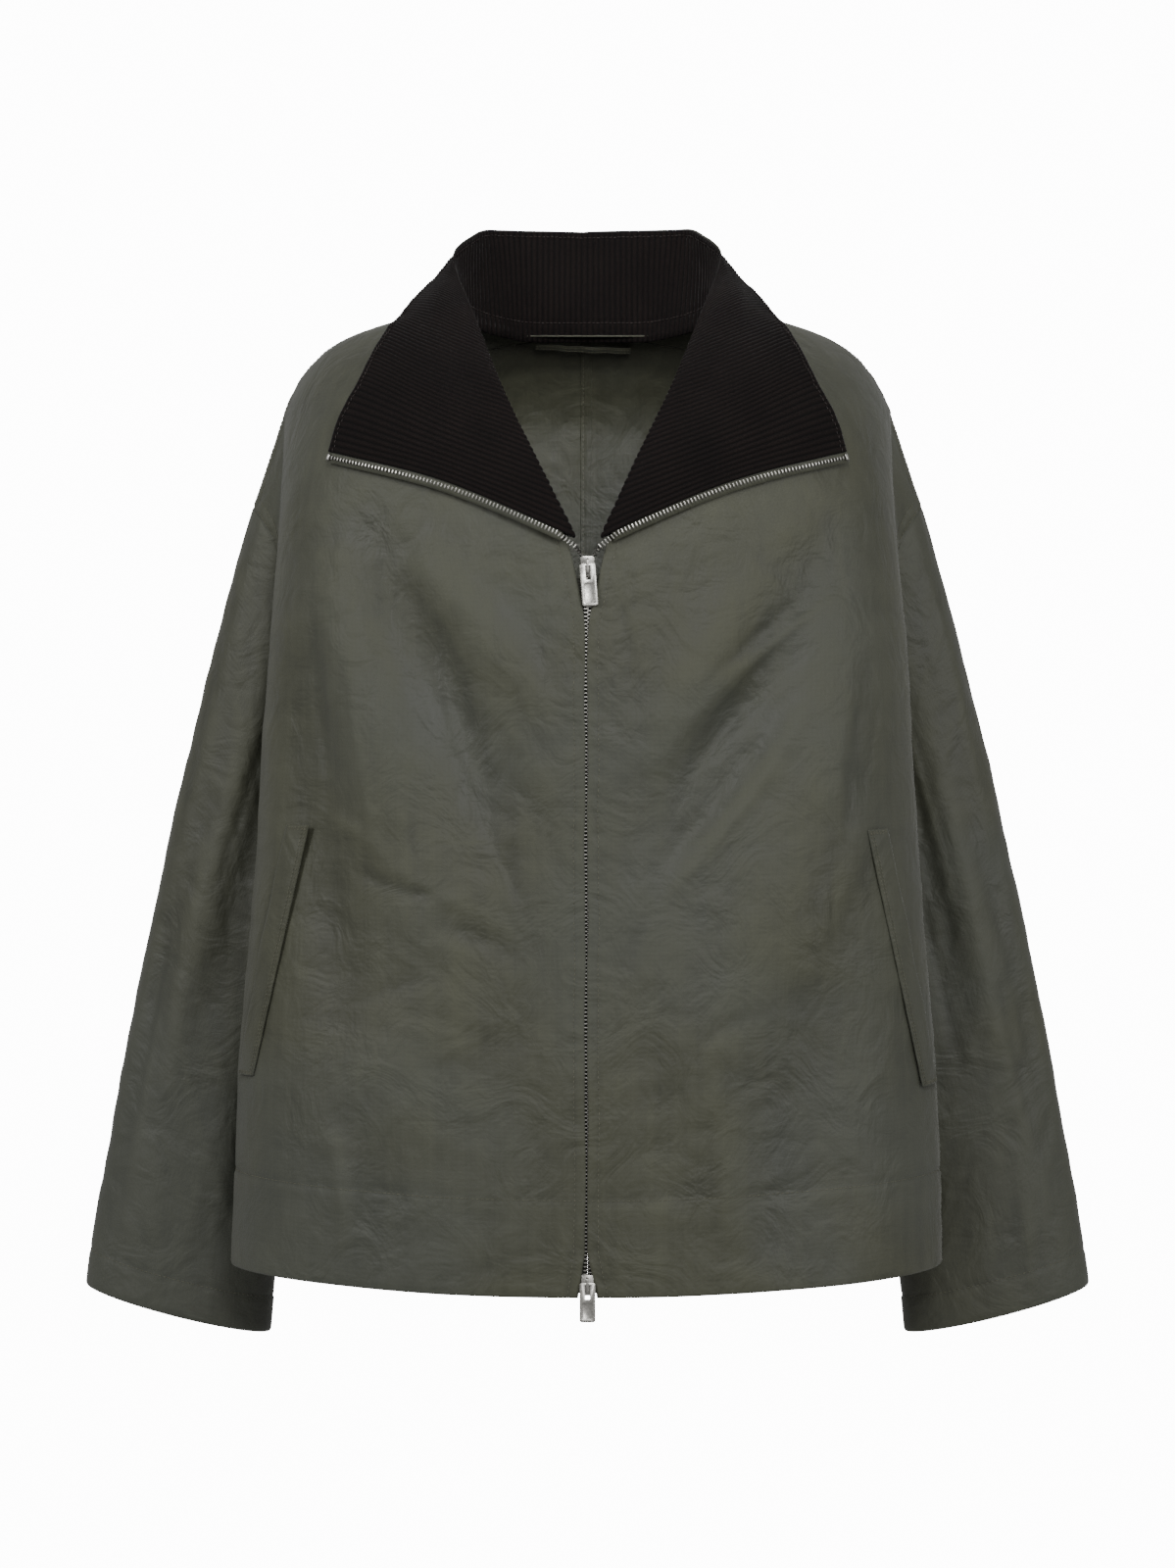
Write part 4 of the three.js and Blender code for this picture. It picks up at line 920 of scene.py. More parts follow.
# turn in degrees from the inside over the front, share of the length from and to, width in
# degrees, height, and how far the fold drifts round the sleeve on its way down
SLEEVE_FOLDS = {
    RIGHT: [
        (95, 0.02, 0.6, 16, -4, 0),
        (125, 0.05, 0.75, 15, 4, 0),
        (150, 0.3, 0.95, 14, -3, 0),
        (235, 0.05, 0.7, 16, 4, 0),
        (270, 0.1, 0.9, 18, -4, 0),
        (112, 0.1, 0.42, 5, -1.4, 14),
        (74, 0.25, 0.62, 6, 1.6, -18),
        (60, 0.5, 0.92, 7, -1.5, 10),
        (140, 0.5, 0.86, 5, 1.2, -14),
        (168, 0.08, 0.5, 6, -1.2, -8),
        (44, 0.12, 0.38, 5, 1.1, 16),
        (88, 0.7, 0.97, 6, 1.0, 8),
        (200, 0.3, 0.8, 8, 1.5, 16),
        (300, 0.2, 0.7, 8, 1.3, -12),
        (330, 0.4, 0.9, 7, -1.2, 10),
    ],
    LEFT: [
        (95, 0.02, 0.6, 16, -4, 0),
        (125, 0.05, 0.75, 15, 4, 0),
        (150, 0.3, 0.95, 14, -3, 0),
        (235, 0.05, 0.7, 16, 4, 0),
        (270, 0.1, 0.9, 18, -4, 0),
        (108, 0.06, 0.5, 5, 1.5, 8),
        (84, 0.2, 0.66, 6, -1.4, 14),
        (66, 0.36, 0.8, 6, 1.4, -12),
        (134, 0.44, 0.9, 6, -1.3, 12),
        (160, 0.1, 0.46, 6, 1.2, -14),
        (48, 0.6, 0.95, 6, -1.0, 8),
        (116, 0.76, 0.98, 6, 0.9, -8),
        (210, 0.24, 0.7, 8, -1.4, 14),
        (250, 0.5, 0.95, 7, 1.2, -10),
        (320, 0.15, 0.6, 8, 1.2, 12),
    ],
}
sleeve_cloth = waxed_cotton("waxed_cotton_sleeve", "36372D", "494A3D", "41443F")


def armhole(side):
    """The armhole seam by share of its girth: from the underarm up over the front, down the back."""
    steps = 240
    climb = np.linspace(UNDERARM_V, 1, steps + 1)
    ahead, behind = between(SEAMS, climb)[:, :3], between(SEAMS, climb)[::-1, 3:]
    ring = np.concatenate([ahead, behind[1:]]) * [side, 1, 1]
    walk = np.linalg.norm(np.diff(ring, axis=0), axis=1)
    half = [0.5 * np.cumsum(part) / part.sum() for part in (walk[:steps], walk[steps:])]
    share = np.concatenate([[0], half[0], 0.5 + half[1]])
    return ring, share, climb


def cuff_ring(side, share):
    angle = 2 * np.pi * share
    return np.stack(
        [
            side * (CUFF["x"] - CUFF["out_x"] * np.cos(angle)),
            CUFF["y"] - CUFF["half_thick"] * np.sin(angle),
            CUFF["z"] - CUFF["out_z"] * np.cos(angle) - CUFF["droop"] * np.maximum(0, np.sin(angle)),
        ],
        -1,
    )


cuff_lines = []
for side_name, side in SIDES.items():
    ring, ring_share, climb = armhole(side)
    upper = ROW_V[UNDER_ROW:]
    ahead = np.interp(upper, climb, ring_share[: len(climb)])
    behind = np.interp(upper, climb, ring_share[len(climb) - 1 :][::-1])[::-1]
    share = np.concatenate([ahead, behind[1:-1]])
    front_edge, back_edge = (panels[kind, side]["points"][UNDER_ROW:, -1] for kind in ("front", "back"))
    start = np.concatenate([front_edge, back_edge[::-1][1:-1]])
    t = even_steps(np.linspace(0, 1, 200), np.linspace(0, SLEEVE_LENGTH, 200), CELL)[:, None]
    even = soft_step(t, 0, 0.4)
    turn_share = np.arange(len(share)) / len(share)
    at = share[None, :] + (turn_share - share)[None, :] * even
    hole = np.stack([np.interp(at, ring_share, ring[:, c]) for c in range(3)], -1)
    tuck = SLEEVE_TUCK * np.sin(np.pi * np.minimum(1, t / 0.55)) * np.exp(-(((at - 0.05) / 0.12) ** 2))
    smooth = hole + (cuff_ring(side, at) - hole) * t[..., None]
    bow = SLEEVE_BOW * np.abs(np.sin(np.pi * t)) ** 0.75 * 0.5 * (1 - np.cos(2 * np.pi * at))
    smooth = smooth + np.stack([side * (0.8 * tuck + bow), 0.6 * tuck, 0 * tuck], -1)
    smooth[0] = start
    down = np.clip((smooth[..., 2] + 225) / (CUFF["z"] + 225), 0, 1)
    middle = np.stack([side * (200 + (CUFF["x"] - 200) * down), 30 + 15 * down, smooth[..., 2]], -1)
    normals = facing_away(smooth, grid_normals(smooth, wrap=True), middle)
    girth = lengths(smooth, 1)
    run = lengths(smooth, 0)
    to_cuff = run[-1:] - run
    degrees = 360 * at
    height = np.zeros(at.shape)
    for turn, first, last, width, lift, drift in SLEEVE_FOLDS[side]:
        along = np.clip((t - first) / (last - first), 0, 1)
        off = (degrees - turn - drift * (along - 0.5) + 180) % 360 - 180
        height += lift * np.sin(np.pi * along) * np.exp(-((off / width) ** 2))
    round_it = 2 * np.pi * turn_share[None, :]
    loose = np.minimum(1, run / 40) * np.minimum(1, to_cuff / 50)
    across, down_it = 60 * np.cos(round_it) + 0 * t, -run + 60 * np.sin(round_it)
    height += loose * 0.9 * crumple(across, down_it, 2.2 + side, 17)
    height += loose * 0.35 * crumple(run, 60 * np.sin(round_it) + 40 * np.cos(round_it), 5.2 - side, 8)
    height += dip(run, 0.75, 1.1) + 0.25 * np.exp(-((run / 8) ** 2)) * pucker(girth, 6 + side)
    turned_up = 0.35 * soft_step(CUFF_STITCH - to_cuff, 0, 1.5)
    height += turned_up + dip(to_cuff - CUFF_STITCH, 0.5, 1.4) + dip(to_cuff, 0.7, 0.9)
    height += 0.25 * np.exp(-(((to_cuff - CUFF_STITCH) / 6) ** 2)) * pucker(girth, 9 + side)
    points = smooth + normals * height[..., None]
    points[0] = start + np.array([side * 0.98, -0.07, -0.16]) * SEAM
    normals = facing_away(points, grid_normals(points, wrap=True), middle)
    # paler ridges as wear and darker troughs as painted shade
    inner, wear_and_shade = points - normals * CLOTH, wear_and_shade_of(height)
    uv = np.stack([girth, run], -1) * MM
    piece = cloth_piece(f"sleeve_{side_name}_cloth", points, inner, uv, wear_and_shade, sleeve_cloth, wrap=True)
    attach(piece, "jacket")
    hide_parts(f"sleeve_{side_name}")
    closed = np.concatenate([points, points[:, :1]], 1)
    width, length = float(lengths(closed, 1).max()) * MM, float(run.max()) * MM
    sleeve = {"points": closed, "normals": np.concatenate([normals, normals[:, :1]], 1)}
    cuff_lines.append(seam_rows(sleeve, CUFF_STITCH, True, 0))
sew("stitching_cuffs", cuff_lines, thread_green)


# Collar
# A funnel collar that stands at the back and rolls open into lapels. Its inner face is cotton
# corduroy with vertical wales at the back, which fan round with the roll, topstitched inside its
# outer edge. Its outer face is the body's waxed cotton, which lies under the corduroy.
PILE = 2.0
WALES = 94  # on each half, 3.2 mm apart
WALE_SAMPLES = 5
WALE_DEPTH = 0.85
FACING_END = 10 / 11
LAPEL_LIFT = 4.8
EDGE_STITCH = 4.6
# base, roll, middle and outer edge of a line of wales, from the centre back to the zip
COLLAR = np.array([
    [0, 73.3, 0, 0, 74.8, 14, 0, 79.5, 42, 0, 84.5, 70],
    [34, 69.2, -0.4, 34, 70.8, 15, 34, 76.2, 43, 34, 82, 70.5],
    [58.5, 57.6, 2.5, 60, 59.2, 19, 62, 64.2, 45, 64, 70, 70],
    [75.3, 41, 7, 76, 42, 24, 76.5, 45, 44, 75.5, 50, 62.5],
    [83.5, 12, 10.5, 85, 12, 33, 87, 17, 45, 88.5, 22, 48],
    [82, -24, 4.5, 79, -29, 17.5, 91.5, -10, 30, 101, 8, 31],
    [78, -60, -12, 70, -74, -6, 96, -48, 11, 113.5, -12, 16],
    [57.6, -104.5, -54, 51.8, -118.8, -53, 97, -97, -36, 133, -60, -18],
    [36.8, -114.2, -97, 31, -126.8, -97, 90, -116, -74, 145.5, -78, -48],
    [24.6, -117.2, -120, 19.4, -130, -122, 89, -119, -95, 157, -83, -70],
    [14.5, -120.5, -144, 8, -132.5, -147, 86, -122, -112.5, 164.5, -88, -90],
    [14.5, -120.5, -150, 9, -132.5, -152.5, 88, -122, -118.5, 166.5, -88, -96.5],
])


def centripetal(points, at):
    """A centripetal Catmull-Rom curve through four points, read at shares of its parameter."""
    knots = [2 * points[0] - points[1], *points, 2 * points[3] - points[2]]
    found = np.zeros(points[0].shape)
    for part in range(3):
        p0, p1, p2, p3 = knots[part : part + 4]
        gaps = [np.linalg.norm(gap, axis=-1, keepdims=True) for gap in (p1 - p0, p2 - p1, p3 - p2)]
        d0, d1, d2 = (np.maximum(gap, 1e-8) ** 0.5 for gap in gaps)
        m1 = ((p1 - p0) / d0 - (p2 - p0) / (d0 + d1) + (p2 - p1) / d1) * d1
        m2 = ((p2 - p1) / d1 - (p3 - p1) / (d1 + d2) + (p3 - p2) / d2) * d1
        f = np.clip(at * 3 - part, 0, 1)[..., None]
        spot = p1 + f * (m1 + f * (3 * (p2 - p1) - 2 * m1 - m2 + f * (2 * (p1 - p2) + m1 + m2)))
        here = (at * 3 >= part) & ((at * 3 < part + 1) | (part == 2))
        found = np.where(here[..., None], spot, found)
    return found


def collar_point(side, s, v):
    """The corduroy's face: s runs from the centre back to the zip, v from the base to the edge."""
    s, v = np.broadcast_arrays(np.asarray(s, float), np.asarray(v, float))
    row = between(COLLAR, s)
    at = np.where(v < 0.2, v / 0.6, (1 + (v - 0.2) / 0.4) / 3)
    point = centripetal([row[..., 3 * k : 3 * k + 3] for k in range(4)], at)
    x, z = point[..., 0], point[..., 2]
    lies = (v > 0.2) & (point[..., 1] < RIDGE_Y) & (z < ridge_z(x) - 1)
    normal = face_normal("front", side, x, z)
    clear = (face_y("front", side, x, z) - point[..., 1]) * -normal[..., 1]
    lift = LAPEL_LIFT + 2.4 * v
    push = np.where(lies & (clear < lift), lift - clear, 0) * soft_step(ridge_z(x) - z, 1, 10)
    return (point + normal * push[..., None]) * [side, 1, 1]


def collar_normal(side, s, v):
    along = collar_point(side, np.minimum(1, s + 0.004), v) - collar_point(side, np.maximum(0, s - 0.004), v)
    across = collar_point(side, s, np.minimum(1, v + 0.02)) - collar_point(side, s, np.maximum(0, v - 0.02))
    normal = np.cross(along, across) * side
    normal[..., 0] = np.where(s < 0.004, 0, normal[..., 0])
    return unit(normal)


def even_places(count, end):
    line = np.linspace(0, end, 400)
    path = collar_point(LEFT, line, np.full(400, 0.55))
    walk = path_walk(path)
    return np.interp(np.linspace(0, walk[-1], count + 1), walk, line)


def both_halves(make):
    """A grid from the wearer's right lapel round the neck to the left one."""
    return np.concatenate([make(RIGHT)[:, :0:-1], make(LEFT)], 1)


def shell_start(s):
    return 0.07 + 0.21 * soft_step(s, 0.4, 0.56)


def collar_rows(s, shares, from_base):
    start = shell_start(s)[None, :]
    shares = np.asarray(shares)[:, None]
    outer = start + (1 - start) * shares
    if not from_base:
        return outer
    return np.concatenate([start * np.linspace(0, 1, 11)[:-1, None], outer])


def collar_folds(side, s, v):
    """Soft dents and swells: the roll's flattening, and the lapel's sag between its stitches."""
    lapel = soft_step(s, 0.45, 0.7)
    high = 1.6 * lapel * np.sin(np.pi * v) * np.sin(9 * s + 2 * v + side)
    high += 0.9 * lapel * np.exp(-(((v - 0.62 + 0.2 * side * (s - 0.7)) / 0.09) ** 2))
    high += 0.5 * (1 - lapel) * np.sin(14 * s + side) * np.sin(np.pi * v)
    return high


outer_shares = np.concatenate([np.linspace(0, 1, 37)[:-1], [0.985, 0.993, 1]])
wale_places = even_places(WALES * WALE_SAMPLES, FACING_END)


ALLOWANCE = 5.2  # of corduroy below its seam
BASE_STITCH = ALLOWANCE + 8
BACK_SHARE = 0.36  # of the way from the centre back to the zip, where the base's stitching ends


def tucked_under(points):
    """The grid with its seam allowance as a first row."""
    return np.concatenate([points[:1] + unit(points[0] - points[1]) * ALLOWANCE, points])


def corduroy_face(side):
    s = wale_places
    v = collar_rows(s, outer_shares, True)
    v = np.concatenate([v[:1], v])
    points, normals = collar_point(side, s[None, :], v[1:]), collar_normal(side, s[None, :] + 0 * v, v)
    points = tucked_under(points)
    step = np.arange(len(s)) / WALE_SAMPLES
    valley = 1 - np.abs(np.sin(np.pi * step)) ** 0.7
    edge = lengths(points, 0)
    out = edge[-1:] - edge
    flat = soft_step(out, 0.6, 2.4)  # wales end where the cloth turns over its edge
    deep = -WALE_DEPTH * valley[None, :] * flat
    rolled = 0.35 * np.exp(-(((out - 2.4) / 1.5) ** 2))
    deep = deep + dip(out - EDGE_STITCH, 0.75, 1.2) + dip(out, 1.0, 1.1) + rolled
    deep = deep + dip(edge - BASE_STITCH, 0.5, 1.4) * (s[None, :] < BACK_SHARE)
    deep = deep + 0.35 * np.exp(-(((out - EDGE_STITCH) / 5) ** 2)) * pucker(lengths(points, 1), 3 + side)
    deep = deep + collar_folds(side, s[None, :], v)
    # the last channel, the wales' valleys, is kept to paint shade into the grooves
    return np.concatenate([points + normals * deep[..., None], normals, (valley + 0 * out)[..., None]], -1)


corduroy, tree = new_material("cotton_corduroy")
# Cotton corduroy, dyed black brown: cut pile stands in ribs over a plain ground, so it is almost matt; painted
# shade makes it darkest in the grooves, and its rib tops catch light at a glancing angle.
place = put(tree, "ShaderNodeTexCoord").outputs["Object"]
cloth = put(tree, "ShaderNodeUVMap", uv_map="cloth").outputs["UV"]
groove_shade = put(tree, "ShaderNodeAttribute", attribute_name="wear_and_shade").outputs["Fac"]
nap = put(tree, "ShaderNodeTexNoise", {"Vector": place, "Scale": 34.0, "Detail": 4.0, "Roughness": 0.6})
tufts = put(tree, "ShaderNodeMapping", {"Vector": cloth, "Scale": (900.0, 420.0, 1.0)})
pile = {"Vector": tufts.outputs["Vector"], "Scale": 1.0, "Detail": 3.0, "Roughness": 0.7}
tuft = put(tree, "ShaderNodeTexNoise", pile)
tone = put(tree, "ShaderNodeMath", {0: tuft.outputs["Fac"], 1: 0.6, 2: 0.0}, operation="MULTIPLY_ADD")
brushed = {0: nap.outputs["Fac"], 1: 0.4, 2: tone.outputs[0]}
tone = put(tree, "ShaderNodeMath", brushed, operation="MULTIPLY_ADD")
ramp = put(tree, "ShaderNodeValToRGB", {"Fac": tone.outputs[0]})
stops = ramp.color_ramp.elements
stops[0].position, stops[0].color = 0.3, paint("090606")
stops[1].position, stops[1].color = 0.72, paint("1C1513")
# painted shade: the wales' valleys mix the pile toward near black in the grooves
browns = {"Factor": groove_shade, "A": ramp.outputs["Color"], "B": paint("060505")}
pile_and_groove_shade = put(tree, "ShaderNodeMix", browns, data_type="RGBA")
bump = put(tree, "ShaderNodeBump", {"Height": tuft.outputs["Fac"], "Distance": 0.0007, "Strength": 0.6})
shader = put(
    tree,
    "ShaderNodeBsdfPrincipled",
    {
        "Base Color": pile_and_groove_shade.outputs[MIXED],
        "Roughness": 0.85,
        "Specular IOR Level": 0.15,
        "Sheen Weight": 0.1,
        "Sheen Roughness": 0.3,
        "Normal": bump.outputs["Normal"],
    },
)
put(tree, "ShaderNodeOutputMaterial", {"Surface": shader.outputs["BSDF"]})

face = both_halves(corduroy_face)
points, face_normals, valleys = face[..., :3], face[..., 3:6], face[..., 6]


def corduroy_back(side):
    s = wale_places
    v = collar_rows(s, outer_shares, True)
    v = np.concatenate([v[:1], v])
    base = tucked_under(collar_point(side, s[None, :], v[1:]))
    normals = collar_normal(side, s[None, :] + 0 * v, v)
    return base + normals * (collar_folds(side, s[None, :], v) - PILE)[..., None]


back_face = both_halves(corduroy_back)
uv = np.stack([lengths(back_face, 1), lengths(back_face, 0)], -1) * MM
piece = cloth_piece("collar_corduroy_facing", points, back_face, uv, valleys, corduroy)
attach(piece, "jacket")
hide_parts("collar_corduroy")
width, length = float(lengths(back_face, 1).max()) * MM, float(lengths(back_face, 0).max()) * MM

SHELL_PROUD = 0.9  # the green edge that shows beyond the corduroy on the wearer's left
shell_places = np.append(even_places(130, FACING_END), [FACING_END + 0.02, FACING_END + 0.05, 1])


def shell_grid(side):
    s = shell_places
    v = collar_rows(s, np.concatenate([[0, 0.01, 0.03], np.linspace(0, 1, 37)[2:-1], [0.985, 1]]), False)
    points, normals = collar_point(side, s[None, :], v), collar_normal(side, s[None, :] + 0 * v, v)
    points[-1] += unit(points[-1] - points[-3]) * (SHELL_PROUD if side == LEFT else 0.2)
    edge = lengths(points, 0)
    out = edge[-1:] - edge
    walk = lengths(points, 1)
    gather = 0.25 * pucker(walk, 4 + side) * np.exp(-(((out - EDGE_STITCH) / 6) ** 2))
    high = collar_folds(side, s[None, :], v) - gather
    high = high - dip(out - EDGE_STITCH, 0.4, 1.2) - dip(out, 0.35, 0.9)
    top = points + normals * (collar_folds(side, s[None, :], v) - PILE - SEAM)[..., None]
    under = points + normals * (high - PILE - SEAM - CLOTH)[..., None]
    return np.concatenate([under, top], -1)


collar_cloth = waxed_cotton("waxed_cotton_collar", "35362B", "48493B", "40433E")
shell = both_halves(shell_grid)
under, top = shell[..., :3], shell[..., 3:]
uv = np.stack([lengths(under, 1), lengths(under, 0)], -1) * MM
piece = cloth_piece("collar_shell_cloth", under, top, uv, np.zeros(under.shape[:2]), collar_cloth)
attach(piece, "jacket")
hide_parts("collar_shell")
width, length = float(lengths(under, 1).max()) * MM, float(lengths(under, 0).max()) * MM

thread_dark, tree = new_material("cotton_thread_black")
# The same sewing thread dyed black brown to match the corduroy.
place = put(tree, "ShaderNodeTexCoord").outputs["Object"]
noise = put(tree, "ShaderNodeTexNoise", {"Vector": place, "Scale": 300.0, "Detail": 2.0})
browns = {"Factor": noise.outputs["Fac"], "A": paint("151110"), "B": paint("3A302D")}
colour = put(tree, "ShaderNodeMix", browns, data_type="RGBA")
shader = put(tree, "ShaderNodeBsdfPrincipled", {"Base Color": colour.outputs[MIXED], "Roughness": 0.6})
put(tree, "ShaderNodeOutputMaterial", {"Surface": shader.outputs["BSDF"]})
facing = {"points": points, "normals": face_normals}
sew("stitching_collar_edge", [seam_rows(facing, EDGE_STITCH, True, 0, lift=0.3)], thread_dark)
centre = points.shape[1] // 2
back_part = np.arange(centre - 150, centre + 151)
sew("stitching_collar_base", [seam_rows(facing, BASE_STITCH, False, 0, back_part, lift=0.2)], thread_dark)


# Locker loop
# A folded strip of the waxed cotton, edge stitched, sewn down at both ends inside the back neck.
# Its wearer's left end droops a little.
LOOP = {"from_x": -35, "to_x": 29, "from_z": -3.6, "to_z": -6.6, "wide": 6, "thick": 1.1}
LOOP |= {"clear": 3.2, "slack": 1.6}
t = np.linspace(0, 1, 65)
x = LOOP["from_x"] + (LOOP["to_x"] - LOOP["from_x"]) * t
z = LOOP["from_z"] + (LOOP["to_z"] - LOOP["from_z"]) * t**2
on_back = [("back", LEFT if a > 0 else RIGHT, abs(a), b) for a, b in zip(x, z)]
normal = unit(np.array([face_normal(*spot) for spot in on_back]) * [0, 1, 1])
depth = np.array([face_y(*spot) for spot in on_back])
off = CLOTH + LOOP["clear"] + LOOP["thick"] / 2 + LOOP["slack"] * np.sin(np.pi * t) + 0.3 * np.sin(23 * t)
middle = np.stack([x, depth, z], -1) - normal * off[:, None]
rise = np.stack([0 * x, -normal[:, 2], normal[:, 1]], -1)
across = np.linspace(-1, 1, 9)
swell = (1 - 0.8 * np.abs(across) ** 4) - 0.35 * np.exp(-(((np.abs(across) - 0.68) / 0.13) ** 2))
points = middle[None] + rise[None] * (across[:, None, None] * LOOP["wide"] / 2)
inward = -normal[None] * (swell[:, None, None] * LOOP["thick"] / 2)
uv = np.stack([lengths(points, 1), lengths(points, 0)], -1) * MM
outer = points + inward
piece = cloth_piece("locker_loop_strip", outer, points - inward, uv, np.zeros(points.shape[:2]), body_cloth)
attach(piece, "jacket")
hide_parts("locker_loop")
facing_out = np.repeat(-normal[None], len(across), 0)
loop_lines = []
for line in (2, 6):
    loop_lines.append((outer[line], facing_out[line]))
for column in (2, 4, 60, 62):
    loop_lines.append((outer[:, column], facing_out[:, column]))
sew("stitching_locker_loop", loop_lines, thread_green, pitch=2.2, length=1.7, thread=0.42)


# Pocket welts
# A folded strip of waxed cotton stands over each slanting side pocket. It is stitched down along
# its inner edge and barred with close stitches at both ends, and its outer edge is free.
WELT_THICK = 1.5
WELTS = {
    RIGHT: {"top": (175.5, -327, 190, -327), "bottom": (212, -487, 222, -487), "gape": 1.5},
    LEFT: {"top": (176, -330, 189, -329), "bottom": (212.5, -494, 222.5, -492), "gape": 0.7},
}
welt_lines = []
for side_name, side in SIDES.items():
    welt = WELTS[side]
    top, bottom = np.array(welt["top"]), np.array(welt["bottom"])
    down = ticks(64, [0, 0.003, 0.008])
    out = np.array([0, 0.04, 0.1, 0.18, 0.26, 0.34, 0.42, 0.5, 0.58, 0.66, 0.74, 0.82, 0.9, 0.96, 1])
    ends = top[None, :] + (bottom - top)[None, :] * down[:, None]
    x = ends[:, :1] + (ends[:, 2:3] - ends[:, :1]) * out[None, :]
    z = ends[:, 1:2] + (ends[:, 3:4] - ends[:, 1:2]) * out[None, :]
    normals = face_normal("front", side, x, z)
    base = np.stack([x, face_y("front", side, x, z), z], -1)
    free = np.sin(np.pi * down)[:, None] ** 0.8
    walk = lengths(base, 0)
    lift = SEAM + 0.9 + welt["gape"] * free * out[None, :] ** 2
    wave = 0.5 * free * np.sin(walk / 9 + side) * out[None, :]
    lift = lift + wave + 0.25 * pucker(walk, 2 + side) * np.exp(-(((out - 0.15) / 0.3) ** 2))
    thick = WELT_THICK * (1 - 0.75 * np.exp(-((out / 0.05) ** 2)) - 0.35 * np.exp(-(((1 - out) / 0.04) ** 2)))
    high = lift + thick + dip(out * 12 - 2.2, 0.4, 1.0)
    outer = (base + normals * high[..., None]) * [side, 1, 1]
    inner = (base + normals * lift[..., None]) * [side, 1, 1]
    normals = normals * [side, 1, 1]
    uv = np.stack([lengths(outer, 1), walk], -1) * MM
    piece = cloth_piece(f"pocket_welt_{side_name}_strip", outer, inner, uv, np.zeros(x.shape), body_cloth)
    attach(piece, "jacket")
    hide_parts(f"pocket_welt_{side_name}")
    strip = {"points": outer, "normals": normals}
    for gap in (2.0, 4.2):
        welt_lines.append(seam_rows(strip, gap, False, 1, slice(2, -2)))
    for bar in (1.2, 2.0, 2.8):
        welt_lines.append(seam_rows(strip, bar, False, 0, slice(1, -1)))
        welt_lines.append(seam_rows(strip, bar, True, 0, slice(1, -1)))
sew("stitching_pocket_welts", welt_lines, thread_green, pitch=2.6, length=2.0)


# Zip chain and tapes
# Teeth of nickel plated metal, 2.4 mm apart, crimped on the edge of a woven tape. Below
# the upper slider the two rows mesh behind the front edges. Above it each row follows its lapel.
TOOTH_PITCH = 2.4
ZIP_SET_BACK = 2.7
SLIDER_Z, LOWER_SLIDER_Z = -164.5, -613
OPEN_THICK = 1.7

nickel, tree = new_material("nickel_plated_metal")
# Nickel plate over die cast zinc: a pale warm metal with a fine tumbled grain and duller hollows.
place = put(tree, "ShaderNodeTexCoord").outputs["Object"]
grit = put(tree, "ShaderNodeTexNoise", {"Vector": place, "Scale": 900.0, "Detail": 3.0})
blotch = put(tree, "ShaderNodeTexNoise", {"Vector": place, "Scale": 160.0, "Detail": 2.0})
greys = {"Factor": blotch.outputs["Fac"], "A": paint("8F8E89"), "B": paint("C2C0BA")}
colour = put(tree, "ShaderNodeMix", greys, data_type="RGBA")
tumbled = {"Value": grit.outputs["Fac"], "From Min": 0.3, "From Max": 0.7, "To Min": 0.24, "To Max": 0.42}
rough = put(tree, "ShaderNodeMapRange", tumbled)
bump = put(tree, "ShaderNodeBump", {"Height": grit.outputs["Fac"], "Distance": 0.0001, "Strength": 0.3})
shader = put(
    tree,
    "ShaderNodeBsdfPrincipled",
    {
        "Base Color": colour.outputs[MIXED],
        "Metallic": 1.0,
        "Roughness": rough.outputs[0],
        "Normal": bump.outputs["Normal"],
    },
)
put(tree, "ShaderNodeOutputMaterial", {"Surface": shader.outputs["BSDF"]})

tape, tree = new_material("woven_zip_tape")
# Herringbone woven polyester tape, green black and matt.
place = put(tree, "ShaderNodeTexCoord").outputs["Object"]
woven = {"Vector": place, "Scale": 160.0, "Distortion": 1.5}
bands = put(tree, "ShaderNodeTexWave", woven, bands_direction="Z")
greens = {"Factor": bands.outputs["Fac"], "A": paint("202019"), "B": paint("33332A")}
colour = put(tree, "ShaderNodeMix", greens, data_type="RGBA")
bump = put(tree, "ShaderNodeBump", {"Height": bands.outputs["Fac"], "Distance": 0.0003, "Strength": 0.6})
matt = {"Base Color": colour.outputs[MIXED], "Roughness": 0.8, "Normal": bump.outputs["Normal"]}
shader = put(tree, "ShaderNodeBsdfPrincipled", matt)
put(tree, "ShaderNodeOutputMaterial", {"Surface": shader.outputs["BSDF"]})
for side_name in SIDES:
    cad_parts[f"zip_tape_{side_name}"].data.materials.clear()
    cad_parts[f"zip_tape_{side_name}"].data.materials.append(tape)

# The corded inner edge of each tape, which the teeth are crimped round, closes the zip behind
# them. It is 3.3 mm wide. Its sheet says 10, the least that a sheet's width may be.
CORD_WIDE, CORD_THICK = 3.3, 0.6
drop = np.linspace(LOWER_SLIDER_Z - 3, SLIDER_Z - 8, 120)
for side_name, side in SIDES.items():
    x = side * (0.08 + CORD_WIDE * np.array([0, 0.12, 0.5, 0.88, 1]))
    swell = CORD_THICK * np.array([0.3, 1, 1, 1, 0.3]) / 2
    depth = face_y("front", LEFT, ZIP_GAP, drop) + ZIP_SET_BACK + 1.6
    flat = np.stack(np.broadcast_arrays(x[None, :], depth[:, None], drop[:, None]), -1)
    thick = swell[None, :, None] * np.array([0, 1, 0])
    uv = np.stack([lengths(flat, 1), lengths(flat, 0)], -1) * MM
    wear_and_shade = np.zeros(flat.shape[:2])
    piece = cloth_piece(f"zip_tape_cord_{side_name}", flat - thick, flat + thick, uv, wear_and_shade, tape)
    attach(piece, "jacket")


